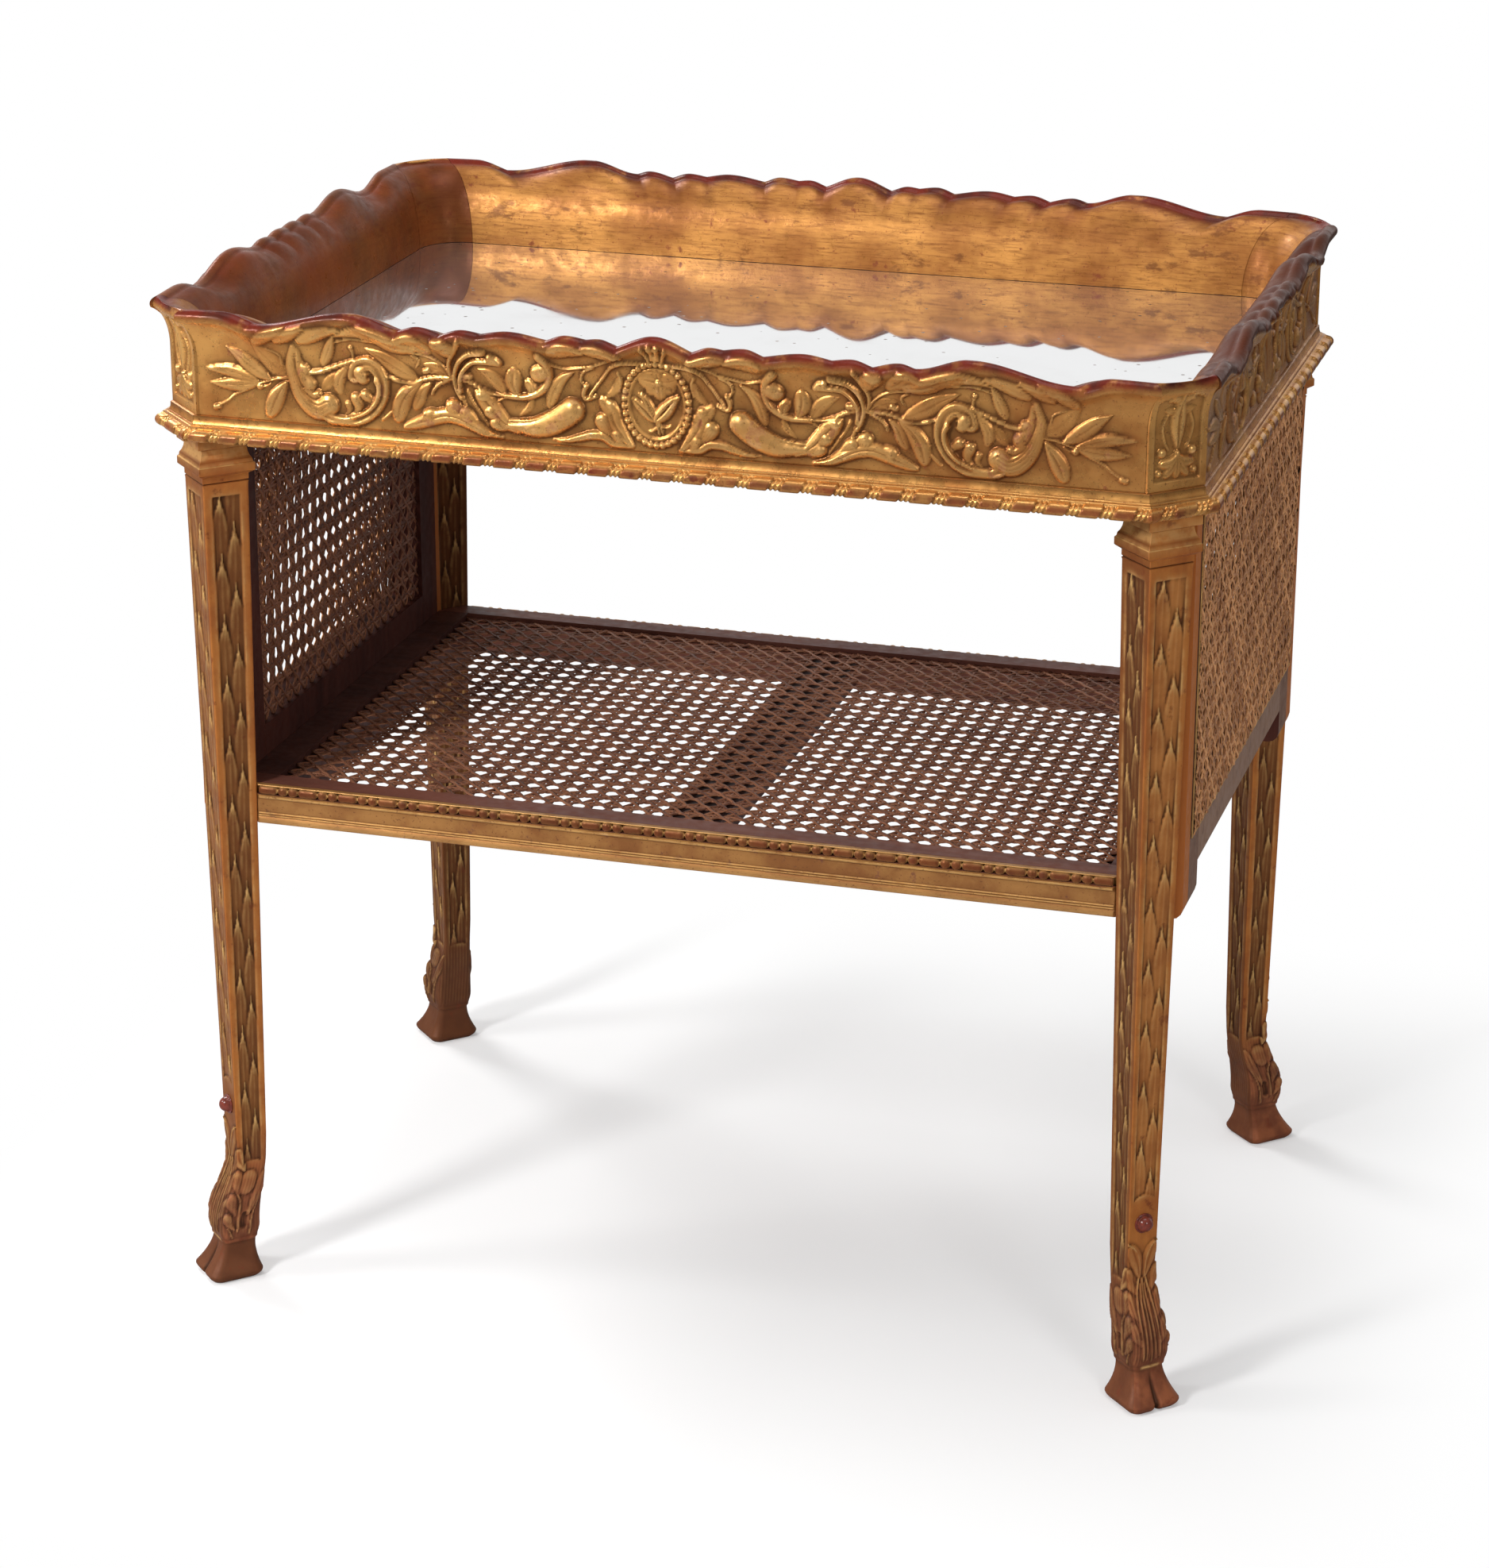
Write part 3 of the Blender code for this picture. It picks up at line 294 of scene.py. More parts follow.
# Left half of the frieze on the long rails, and the flower and leaves in its medallion
FRIEZE = (
    ("s", 1.1, 1.6, ((-271.7, 32.5), (-281.7, 30.8), (-291.7, 27.6), (-297.3, 26.2))),
    ("l", 5, 2.4, ((-287.2, 30.8), (-299.3, 38.3), (-308.8, 45.9), (-318.4, 52))),
    ("l", 4.2, 2.2, ((-295.7, 28.3), (-307.5, 32.1), (-319.4, 34.5), (-335.9, 34.8))),
    ("l", 4.4, 2.2, ((-295.8, 26.8), (-307.8, 25), (-319.8, 24.5), (-331.8, 24.5))),
    ("s", 0.9, 1.5, ((-296.8, 26.3), (-303.9, 21.4), (-313.1, 17.3), (-319.4, 12), (-329.1, 6.7))),
    ("b", 1.9, 1.8, ((-326.3, 7.6), (-329.1, 6.7))),
    ("b", 2.3, 2.4, ((-294.4, 24.5),)),
    ("s", 0.8, 1.2, ((-291.9, 24.2), (-288.8, 25.2), (-285.8, 27.1))),
    ("p", 5, 2.8, ((-274.1, 28.8), (-279.6, 20.9), (-283.9, 12.9), (-287.5, 4.1))),
    ("l", 5.6, 1.1, ((-273.4, 35), (-282.3, 40.8), (-290.6, 48.8), (-297.9, 56.3))),
    ("s", 0.7, 1.5, ((-276.7, 42.1), (-278.3, 48.3), (-282.5, 51.2), (-287.7, 53))),
    ("h", 6, 4.2,
        ((-267.3, 55.5), (-270.1, 43.6), (-267.7, 32.3), (-262.7, 21.3), (-255.6, 14), (-248.8, 11.8),
         (-242.5, 15))),
    ("h", 4, 3.4, ((-265.1, 53.8), (-263.6, 41.2), (-259.8, 32.9), (-256.5, 28.9))),
    ("b", 2.9, 3, ((-258.6, 25.4), (-253.3, 21.5), (-249.9, 22.3))),
    ("s", 1.7, 2.6, ((-259.6, 38.5), (-251.7, 37.7), (-241.7, 41), (-232.8, 44.6), (-222.2, 49))),
    ("p", 3.5, 2.3, ((-225.6, 46.3), (-231.8, 38), (-234.7, 31.1), (-233.5, 24.3))),
    ("l", 3.3, 1, ((-237.5, 37), (-242.6, 30.5), (-248.5, 24.1))),
    ("c", 5.8, 3.8,
        ((-222, 37.8), (-219.5, 44.6), (-212, 47.3), (-205.2, 43.3), (-201.4, 34.6), (-202.1, 24.1),
         (-208.3, 13.6), (-218.3, 6.6), (-230.3, 3.5), (-241, 5.3), (-247.8, 10))),
    ("b", 5, 3.8, ((-218.2, 40.1), (-216.1, 37.1))),
    ("s", 2.3, 4.4, ((-206.6, 37.1), (-203.6, 29.7), (-206.1, 20), (-213.3, 12.3), (-223.3, 7.6))),
    ("d", 2.1, 3, ((-211.3, 37.5), (-208.5, 36.9))),
    ("h", 2.9, 2.8, ((-227.6, 7.6), (-222, 10.1), (-219.8, 15.6), (-222, 21.4))),
    ("h", 1.7, 1.8, ((-230.1, 8.5), (-226.9, 12.1), (-228, 16.7))),
    ("h", 2.7, 2.6, ((-208.7, 16.4), (-210.6, 20.6), (-214.8, 24.1))),
    ("b", 2.5, 2.8, ((-261, 41.2), (-258.7, 40.7))),
    ("s", 1.2, 1.6, ((-224.8, 57.5), (-223.2, 53.6), (-223.4, 49.2))),
    ("b", 1.7, 2, ((-224.5, 57.9),)),
    ("p", 3.3, 2.3, ((-237.1, 65.1), (-241.5, 53.7), (-246, 44.3))),
    ("l", 5.8, 2.8, ((-172.3, 61.4), (-190.3, 63.3), (-203.8, 69.4), (-219.3, 70.7), (-236.2, 66.3))),
    ("p", 4.4, 2.5, ((-232, 71), (-246.3, 68.1), (-262.9, 60.4))),
    ("p", 3.8, 2.1, ((-257.4, 71.5), (-269.3, 65.6), (-280.2, 59.6))),
    ("p", 3.8, 2, ((-270.2, 72), (-283.9, 64.9), (-296.6, 56.8))),
    ("s", 1.2, 1.6, ((-205.7, 63.9), (-215.3, 64.2), (-225.2, 64.2), (-235.6, 61.4))),
    ("s", 1, 1.3, ((-202.2, 7.1), (-196.6, 12), (-192, 16.8))),
    ("l", 5.2, 2, ((-175.7, 38.7), (-189.1, 45.2), (-201.2, 52.4), (-214, 58.4))),
    ("s", 1.7, 2.3,
        ((-148.4, 41), (-157.1, 41), (-166.8, 39.9), (-176.7, 36.5), (-186.5, 35.7), (-197.6, 38.9))),
    ("p", 5.2, 2.8, ((-173.2, 35.8), (-182.2, 28.5), (-187.7, 19.5), (-190.6, 8))),
    ("p", 3.6, 2.3, ((-165.6, 36.4), (-171.8, 30.3), (-174.1, 24.4), (-177.3, 17.7))),
    ("s", 1.6, 2.1, ((-152.4, 39.8), (-158.7, 36.5), (-163, 32.1), (-164.3, 28.8))),
    ("s", 1.2, 2, ((-179.8, 58.7), (-170.4, 57.4), (-162, 55), (-154.7, 49.7), (-150.2, 42.1))),
    ("s", 1.1, 1.6, ((-178.2, 56.2), (-174.3, 53.5), (-173.9, 50.3), (-175.8, 47.4))),
    ("l", 3.8, 1.2, ((-151.8, 42.7), (-160.8, 47), (-170.7, 50.2))),
    ("b", 2.1, 2.2, ((-169.6, 44.8), (-167.1, 45.6))),
    ("s", 1, 1.5, ((-164.8, 44), (-157.9, 46.5), (-152.3, 43.1))),
    ("p", 4.4, 2.4, ((-188.3, 67.8), (-178.9, 69.3), (-172, 64.1), (-165.2, 59.7))),
    ("b", 6, 2.8, ((-155.8, 66.7), (-151, 63.2))),
    ("s", 1.9, 2.3, ((-141.9, 69.7), (-146.5, 61.4), (-151.1, 52.9), (-150.5, 44.2), (-148, 39.7))),
    ("s", 2.3, 3.4,
        ((-124.5, 63.1), (-136.1, 60.4), (-144, 53.5), (-147.4, 43.5), (-146.1, 34.2), (-142.7, 27.6))),
    ("s", 2.6, 3.8,
        ((-114.2, 55.7), (-124.3, 56.1), (-132.8, 55.2), (-139.9, 48.9), (-143.4, 41.4), (-143, 32.5))),
    ("b", 2.5, 3.8, ((-120.4, 59.5), (-116.8, 58.2), (-114.3, 55.4))),
    ("s", 1.4, 2.1, ((-143.1, 41), (-135, 38.8), (-126.4, 34.6), (-118.7, 32.3), (-110.1, 32.1))),
    ("b", 2.3, 2.4, ((-140.2, 43.6), (-136.6, 43.4))),
    ("l", 4, 1.4, ((-109.9, 32.7), (-115.7, 41), (-122.2, 46.4), (-130.4, 49.4))),
    ("s", 3.3, 3,
        ((-84, 62.6), (-78.8, 56.8), (-77.5, 49), (-80.7, 40.2), (-88, 34.5), (-97.6, 31.8),
         (-109.6, 32.1))),
    ("b", 6.1, 4.4, ((-85.1, 49.8), (-82.6, 51))),
    ("p", 4.8, 3, ((-100.9, 32.8), (-104, 41.2), (-103.6, 50.3))),
    ("p", 3.3, 2.6, ((-90.9, 33.6), (-90.8, 38.9), (-94, 43.1))),
    ("s", 0.8, 1.3, ((-117.2, 25.8), (-113.2, 29), (-109.1, 30))),
    ("l", 2.1, 1.2, ((-89.9, 32), (-93, 24.2), (-100.3, 17.9))),
    ("p", 4.4, 3.6,
        ((-112.6, 1.6), (-124.2, 3.7), (-133.7, 8.4), (-143.8, 13), (-154, 14.4), (-165.7, 11), (-175.6, 7),
         (-185.2, 3.7))),
    ("h", 4.4, 4, ((-142.3, 12.2), (-146.6, 16.6), (-148.9, 20.7))),
    ("h", 3.8, 3.6, ((-156.9, 13.4), (-162.7, 14.4), (-167.1, 13.1))),
    ("h", 3.8, 3.8, ((-130.8, 8.9), (-135.5, 13.7), (-140.2, 16.8))),
    ("p", 5.4, 3.6, ((-100, 6.6), (-111.4, 13.3), (-118.9, 20.7), (-125.1, 27.8), (-131, 33.4))),
    ("h", 3.3, 4.2, ((-117.9, 26.9), (-122.6, 29.4), (-128, 30.4))),
    ("h", 3.6, 4.3, ((-110.4, 16.2), (-117.2, 17.1), (-121.4, 19.6))),
    ("h", 3.5, 4.2, ((-105.8, 9), (-112.5, 9.4), (-117.3, 11.8))),
    ("s", 1.3, 1.6, ((-142, 28.8), (-138.3, 19.6), (-130.7, 11.7), (-121.2, 4.9), (-113.6, 1.5))),
    ("s", 1.2, 1.4, ((-138, 32.9), (-134.3, 25.6), (-130.5, 20.2), (-123.1, 9.5))),
    ("q", 9, 6, ((-107, 11.2), (-97.4, 10.6), (-87.8, 11), (-77, 14.6), (-67, 20.4), (-61, 25.4))),
    ("s", 1.1, 3.6, ((-106, 15), (-97.3, 15.4), (-87.7, 17.4), (-77.1, 23), (-69, 29))),
    ("l", 2.9, 2.8,
        ((-18.5, 2.1), (-30.6, 3.9), (-38.1, 8.3), (-47.2, 8.5), (-56.3, 5.9), (-65.9, 3.5), (-75.9, 3.2))),
    ("p", 5, 2.8, ((-17.5, 2.9), (-24.6, 10.8), (-30.3, 18.8), (-33.1, 27.5), (-40.2, 34.4))),
    ("h", 4.4, 3.4, ((-29.6, 7.6), (-35, 13.2), (-39, 19.2))),
    ("h", 3.3, 3.4, ((-21.1, 2.6), (-25.8, 5), (-28.8, 10.4))),
    ("h", 2.9, 3, ((-27.6, 18.1), (-30.4, 25.3), (-33.1, 31.2))),
    ("s", 1.5, 2.2,
        ((-11.5, 62.9), (-24.3, 62.6), (-32.5, 58.3), (-38.2, 50.6), (-43.5, 43.5), (-48.7, 36.3))),
    ("s", 1.8, 2.6, ((-50.5, 43.4), (-52.8, 38.1), (-51.1, 34), (-44, 36.3))),
    ("s", 1.3, 2, ((-45.8, 57.2), (-52.1, 53.9), (-54.7, 47.9), (-51.8, 42.9))),
    ("p", 3.8, 2.5, ((-60.8, 52.4), (-68.2, 47.3), (-74.1, 38.8), (-77.8, 26.1))),
    ("p", 4.4, 2.4, ((-50.4, 69.1), (-63.6, 69.8), (-75.4, 66.6))),
    ("p", 3.8, 2.3, ((-23.6, 67.4), (-34.4, 68.8), (-50.3, 71.9))),
    ("s", 1.2, 1.7, ((-75.2, 57.2), (-65.6, 54.8), (-54, 56.6), (-44.3, 58.8), (-31.5, 64.4))),
    ("l", 2.5, 1.3, ((-26, 52.1), (-30.2, 42.2), (-37.8, 35.1))),
    ("s", 1.2, 1.6, ((-27.2, 55), (-25.2, 49.2), (-26.9, 41.5))),
    ("s", 1.6, 2, ((-1.6, 75.5), (-2.2, 70), (-2.8, 63.4))),
    ("s", 1.6, 2.2, ((3.3, 75.9), (1.2, 70.2), (0.3, 64.8))),
    ("s", 1.6, 2, ((8.5, 74.4), (6.2, 69.7), (4, 63.8))),
)
MEDALLION = (
    ("l", 6, 2.3, ((1, 49.6), (-4.9, 51.1), (-12.3, 51.7))),
    ("l", 5.6, 2.3, ((2.1, 49.5), (8.5, 51.2), (14.8, 53.4))),
    ("l", 5, 2.5, ((1.3, 48), (-2.8, 45.3), (-6.1, 44.1))),
    ("l", 5.4, 2.5, ((2.3, 48.4), (7.8, 47.1), (12.5, 46.5))),
    ("l", 4.8, 2.8, ((1.6, 47.6), (2.7, 42.9), (3, 38.3))),
    ("l", 4.4, 2, ((1.5, 50.9), (0.6, 55.3), (1.5, 58.9))),
    ("b", 2.7, 3.6, ((1.7, 49.7),)),
    ("v", 5.6, 3.8, ((-0.6, 22.3), (6.2, 30.1), (11.9, 37.1), (16.8, 41))),
    ("v", 4.4, 2, ((-2, 22.2), (-7.5, 28.6), (-13.7, 33.7), (-18.2, 37.9))),
    ("v", 3.3, 2.3, ((-1.5, 24.4), (-4.8, 32.1), (-8.9, 38.1), (-14.3, 41.4))),
    ("s", 1.3, 2.2, ((-0.1, 23.6), (0.8, 18.9), (1.9, 13.4))),
    ("s", 1.2, 2.4, ((1.8, 23.2), (2.9, 19.1), (4.7, 13.9))),
    ("s", 1, 1.6, ((-0.6, 17.4), (-3, 14.9), (-5.4, 14.7))),
    ("s", 1, 1.6, ((4.2, 18.3), (7.6, 18.1), (10.4, 19.7))),
)
OVAL_HALF = (23.5, 29.3)
OVAL_UP = 34.3
OVAL_BEADS = 34
OVAL_BEAD_RADIUS = 2.45
OVAL_BEAD_RISE = 3.1

# On the short rails the frieze moves in, and a palm takes the medallion's place
SHORT_SHIFT = 116.0
SHORT_CENTRE = (("p", 6, 3.4, ((0, 8), (0, 28), (0, 54))), ("b", 4.5, 3.6, ((0, 9),))) + paired(
    ("p", 5, 3, ((1, 8), (8, 24), (16, 46))),
    ("p", 4.4, 2.6, ((2, 8), (14, 16), (25, 30))),
    ("h", 4, 3, ((3, 7), (16, 5.5), (27, 12))),
    ("s", 1.5, 2, ((18, 56), (9, 62), (0, 60))),
)
CORNER = (
    ("v", 6.2, 3.6, ((0, 62), (0, 46), (0, 38), (0, 27))),
    ("s", 1.3, 2.2, ((0, 66), (0.5, 60), (0, 52))),
    ("p", 2.8, 2.8, ((0, 22), (0, 15), (0, 8.5))),
    ("b", 2, 2.6, ((0, 25),)),
) + paired(
    ("l", 2.6, 2, ((0, 60), (5, 63), (11, 62))),
    ("l", 2.4, 1.8, ((1, 56), (6, 54), (12, 56))),
    ("s", 1.1, 1.6, ((9, 52), (12, 44), (10, 34), (7, 28))),
    ("p", 3, 2.6, ((0, 24), (5, 19), (13, 18))),
    ("p", 2.8, 2.6, ((0, 22), (4, 15), (9, 9))),
    ("b", 3.1, 2.6, ((12, 26),)),
    ("b", 2.2, 2.2, ((14, 12),)),
)


# Materials


class Graph:
    """Short ways to add nodes to a tree."""

    def __init__(self, tree):
        self.tree = tree

    def feed(self, socket, value):
        if isinstance(value, bpy.types.NodeSocket):
            self.tree.links.new(value, socket)
        elif isinstance(value, tuple) and socket.type == "RGBA":
            socket.default_value = (*value, 1)
        else:
            socket.default_value = value

    def node(self, kind, inputs=None, **settings):
        """Outputs of a new node with these settings, its inputs set or linked by name or number."""
        made = self.tree.nodes.new("ShaderNode" + kind)
        for key, value in settings.items():
            setattr(made, key, value)
        for key, value in (inputs or {}).items():
            self.feed(made.inputs[key], value)
        return made.outputs

    def span(self, value, low, high, to_low=0.0, to_high=1.0):
        """Value brought from low..high to to_low..to_high, eased at both ends."""
        inputs = {"Value": value, "From Min": low, "From Max": high, "To Min": to_low, "To Max": to_high}
        return self.node("MapRange", inputs, interpolation_type="SMOOTHSTEP")["Result"]

    def math(self, kind, a, b=0.0):
        """Sums, differences and products are kept within 0..1."""
        kept = kind in ("ADD", "SUBTRACT", "MULTIPLY")
        return self.node("Math", {0: a, 1: b}, operation=kind, use_clamp=kept)[0]

    def times(self, a, b):
        return self.math("MULTIPLY", a, b)

    def most(self, a, b):
        return self.math("MAXIMUM", a, b)

    def split(self, vector):
        return self.node("SeparateXYZ", {0: vector})

    def turned(self, share, first, second):
        """One shader turning to another by the share."""
        return self.node("MixShader", {0: share, 1: first, 2: second})[0]


class Look(Graph):
    """A procedural material round one Principled shader. Places are in metres."""

    def __init__(self, name, **values):
        self.made = bpy.data.materials.new(name)
        self.made.use_nodes = True
        super().__init__(self.made.node_tree)
        self.shader = self.tree.nodes["Principled BSDF"]
        self.place = self.node("TexCoord")["Object"]
        for key, value in values.items():
            self.set(key.replace("_", " "), value)

    def set(self, key, value):
        self.feed(self.shader.inputs[key], value)

    def noise(self, scale, detail=4.0, rough=0.55, stretch=None, twist=0.0):
        at = self.place
        if stretch:
            at = self.node("Mapping", {"Vector": at, "Scale": stretch})["Vector"]
        inputs = {"Vector": at, "Scale": scale, "Detail": detail, "Roughness": rough, "Distortion": twist}
        return self.node("TexNoise", inputs)["Fac"]

    def blots(self, low, high, *noise):
        """Patches of noise: none where it is below low, full where it is above high."""
        return self.span(self.noise(*noise), low, high)

    def mix(self, share, a, b, part=None):
        """Colour a turning to b by the share, or by a part of it."""
        share = self.times(share, part) if part else share
        return self.node("Mix", {"Factor": share, 6: a, 7: b}, data_type="RGBA")[2]

    def value(self, name):
        """A number that the mesh holds at each point."""
        return self.node("Attribute", attribute_name=name)["Fac"]

    def normal(self):
        return self.split(self.node("NewGeometry")["Normal"])

    def outward(self, axis):
        """How far the surface looks away from the table's middle along an axis, 0 where it looks inwards."""
        return self.times(self.normal()[axis], self.math("SIGN", self.split(self.place)[axis]))

    def roughness(self, scale, low, high, detail=4.0):
        return self.span(self.noise(scale, detail), 0.3, 0.7, low, high)

    def bump(self, height, strength, distance):
        inputs = {"Strength": strength, "Distance": distance, "Height": height}
        self.set("Normal", self.node("Bump", inputs)[0])


def gilding(name, gold, brown, bole, rubbed, rough, metal):
    """Old leaf gilding: mottled gold over red bole, painted highlights on high spots and painted shade in the
    hollows.
    The mesh's values are hollow, high, gleam, lacquer, inside, umber and soot."""
    look = Look(name)
    keys = ("hollow", "high", "gilt_and_highlight", "lacquer", "inside", "umber_and_shade", "top_shade")
    hollow, high, gilt_and_highlight, lacquer, inside, umber_and_shade, top_shade = (look.value(key) for key in keys)
    colour = look.mix(look.blots(0.36, 0.66, 30, 5, 0.6), gold, brown)
    streak = look.blots(0.45, 0.75, 160, 4, 0.6, (0.25, 0.25, 1.0))
    colour = look.mix(streak, colour, brown, 0.15)
    cloud = look.blots(0.34, 0.68, 16, 4, 0.55)
    flat = look.mix(cloud, (0.54, 0.248, 0.064), (0.27, 0.102, 0.026))
    level = look.blots(0.42, 0.72, 520, 6, 0.7, (0.10, 0.10, 1.0))
    flat = look.mix(level, flat, (0.18, 0.062, 0.018), 0.80)
    scuff = look.blots(0.56, 0.66, 64, 7, 0.70, (0.5, 0.5, 1.0))
    flat = look.mix(scuff, flat, (0.14, 0.050, 0.018), 0.75)
    colour = look.mix(inside, colour, flat)
    wear = look.math("ADD", look.noise(75, 6, 0.62), look.times(high, 0.10))
    worn = look.span(wear, rubbed, rubbed + 0.07)
    colour = look.mix(worn, colour, bole, 0.85)
    # Pale gold: painted highlights on the high edges of carving and mouldings, and gilt of its own on trims
    # and bead grounds
    bright = look.times(gilt_and_highlight, look.span(look.noise(120), 0.30, 0.55, 0.12, 0.50))
    colour = look.mix(bright, colour, (0.84, 0.52, 0.190))
    colour = look.mix(look.blots(0.64, 0.70, 520, 2, 0.5), colour, bole, 0.6)
    # Dark brown in creases, grooves and beside the carving: painted shade; on the beads it is their own
    # darker brown
    colour = look.mix(hollow, colour, (0.085, 0.030, 0.012), 0.85)
    # Umber brown: the beads' own, some on the lips, and painted shade under the crest, on darker inner faces
    # and their lips, and on outer faces
    umber_and_shade_tone = look.mix(look.blots(0.36, 0.66, 18, 5, 0.6), (0.145, 0.029, 0.008), (0.078, 0.017, 0.006))
    colour = look.mix(umber_and_shade, colour, umber_and_shade_tone)
    lacquered = look.times(lacquer, look.span(look.noise(55, 5, 0.6), 0.28, 0.5, 0.5, 1.0))
    red = look.mix(look.blots(0.4, 0.65, 45, 3), (0.125, 0.017, 0.010), (0.065, 0.014, 0.010))
    colour = look.mix(lacquered, colour, red)
    # Near black: painted shade over the lip and inner face of the right rail
    look.set("Base Color", look.mix(top_shade, colour, (0.040, 0.011, 0.007)))
    plain = look.most(umber_and_shade, inside)
    dull = look.most(look.most(worn, lacquered), look.times(plain, 0.7))
    look.set("Metallic", look.span(dull, 0.0, 1.0, metal, 0.04))
    look.set("Specular IOR Level", look.span(look.most(plain, lacquered), 0.0, 1.0, 0.12, 0.07))
    ragged = look.math("ADD", look.roughness(110, rough - 0.08, rough + 0.12), look.times(plain, 0.05))
    look.set("Roughness", look.math("SUBTRACT", ragged, look.times(lacquered, 0.12)))
    look.bump(look.math("ADD", look.noise(300, 4, 0.6), look.times(look.noise(900, 2), 0.35)), 0.22, 0.0006)
    return look.made


def leg_gilding(name):
    """Legs: worn orange gold, painted highlights on the leaf tips, painted shade in the side panels,
    red-brown knees and hooves.
    The mesh's values are hollow, gleam, inset, low and shade."""
    look = Look(name, Specular_IOR_Level=0.1)
    keys = ("hollow", "gilt_and_highlight", "inset", "low", "shade")
    hollow, gilt_and_highlight, inset, low, shade = (look.value(key) for key in keys)
    mottle = look.blots(0.36, 0.66, 34, 5, 0.6)
    border = look.mix(mottle, (0.51, 0.182, 0.044), (0.39, 0.122, 0.032))
    panel = look.mix(mottle, (0.54, 0.215, 0.060), (0.40, 0.142, 0.040))
    colour = look.mix(inset, border, panel)
    streak = look.blots(0.42, 0.74, 120, 5, 0.62, (1.0, 1.0, 0.10))
    colour = look.mix(streak, colour, (0.17, 0.055, 0.020), 0.25)
    foot = look.mix(look.blots(0.36, 0.66, 60, 5), (0.27, 0.088, 0.038), (0.165, 0.052, 0.025))
    colour = look.mix(low, colour, foot)
    # Painted shade: side panels, the face towards the front left, the back left leg and one hoof
    colour = look.mix(shade, colour, (0.10, 0.036, 0.015))
    colour = look.mix(look.blots(0.60, 0.68, 85, 6, 0.62), colour, (0.17, 0.040, 0.018), 0.6)
    # Pale gold: painted highlights on leaf edges and the capital, and the gilt line round the ankle
    bright = look.times(gilt_and_highlight, look.span(look.noise(140), 0.30, 0.60, 0.25, 0.9))
    colour = look.mix(bright, colour, (0.68, 0.41, 0.150))
    # Painted shade in the creases between leaves and on the capital
    look.set("Base Color", look.mix(hollow, colour, (0.050, 0.019, 0.009), 0.9))
    look.set("Metallic", look.span(low, 0.0, 1.0, 0.42, 0.12))
    look.set("Roughness", look.roughness(110, 0.36, 0.54))
    grain = look.noise(260, 4, 0.6, (1.0, 1.0, 0.3))
    look.bump(look.math("ADD", grain, look.times(look.noise(900, 2), 0.35)), 0.22, 0.0006)
    return look.made


def outer_wood(name, light, dark, edge_at):
    """Panel frames: dark red-brown inside, of their own colour on the faces that look out of the table's
    ends, and of the legs' colour beyond the distance edge_at from the middle."""
    look = Look(name, Specular_IOR_Level=0.06)
    grain = look.noise(34, 6, 0.62, (1.0, 1.0, 0.12), 0.6)
    inside = look.mix(look.span(grain, 0.35, 0.68), (0.085, 0.026, 0.018), (0.045, 0.014, 0.011))
    outside = look.mix(look.blots(0.5, 0.72, 70, 6, 0.6), light, dark)
    colour = look.mix(look.span(look.outward("X"), 0.3, 0.7), inside, outside)
    beyond = look.span(look.math("ABSOLUTE", look.split(look.place)["Y"]), edge_at, edge_at + 0.0008)
    look.set("Base Color", look.mix(beyond, colour, LEG_ORANGE))
    look.set("Roughness", look.roughness(120, 0.40, 0.56))
    look.bump(grain, 0.12, 0.0005)
    return look.made


def brown_wood(name, light, dark):
    look = Look(name, Specular_IOR_Level=0.1)
    grain = look.noise(30, 6, 0.62, (0.12, 1.0, 1.0), 0.6)
    look.set("Base Color", look.mix(look.span(grain, 0.34, 0.68), light, dark))
    look.set("Roughness", look.roughness(140, 0.36, 0.55))
    look.bump(grain, 0.15, 0.0005)
    return look.made


def shelf_gilding(name):
    """Shelf rails: worn gold on the moulded face, dark brown on top and behind."""
    look = Look(name, Specular_IOR_Level=0.1)
    face = look.span(look.outward("Y"), 0.15, 0.45)
    grain = look.noise(30, 6, 0.62, (0.12, 1.0, 1.0), 0.6)
    top = look.mix(look.span(grain, 0.35, 0.68), (0.19, 0.068, 0.044), (0.115, 0.042, 0.030))
    gold = look.mix(look.blots(0.36, 0.66, 32, 5, 0.6), (0.40, 0.20, 0.060), (0.25, 0.105, 0.032))
    worn = look.blots(0.60, 0.68, 80, 6, 0.62, (0.3, 1.0, 1.0))
    gold = look.mix(worn, gold, (0.20, 0.06, 0.026), 0.8)
    look.set("Base Color", look.mix(face, top, gold))
    look.set("Metallic", look.span(face, 0.0, 1.0, 0.0, 0.6))
    look.set("Roughness", look.roughness(120, 0.34, 0.52))
    look.bump(grain, 0.12, 0.0005)
    return look.made


def cane_skin(name, dark, light):
    """Stained cane: each strand its own tone, with soiling, pale flecks and a slight gloss on its skin."""
    look = Look(name, Specular_IOR_Level=0.15)
    colour = look.mix(look.value("tone"), dark, light)
    colour = look.mix(look.blots(0.42, 0.68, 60, 5, 0.6), colour, (0.060, 0.022, 0.013), 0.28)
    colour = look.mix(look.blots(0.58, 0.68, 420, 3), colour, (0.40, 0.21, 0.095), 0.22)
    look.set("Base Color", colour)
    look.set("Roughness", look.roughness(200, 0.40, 0.58, 3))
    look.bump(look.noise(1500, 2), 0.15, 0.0003)
    return look.made


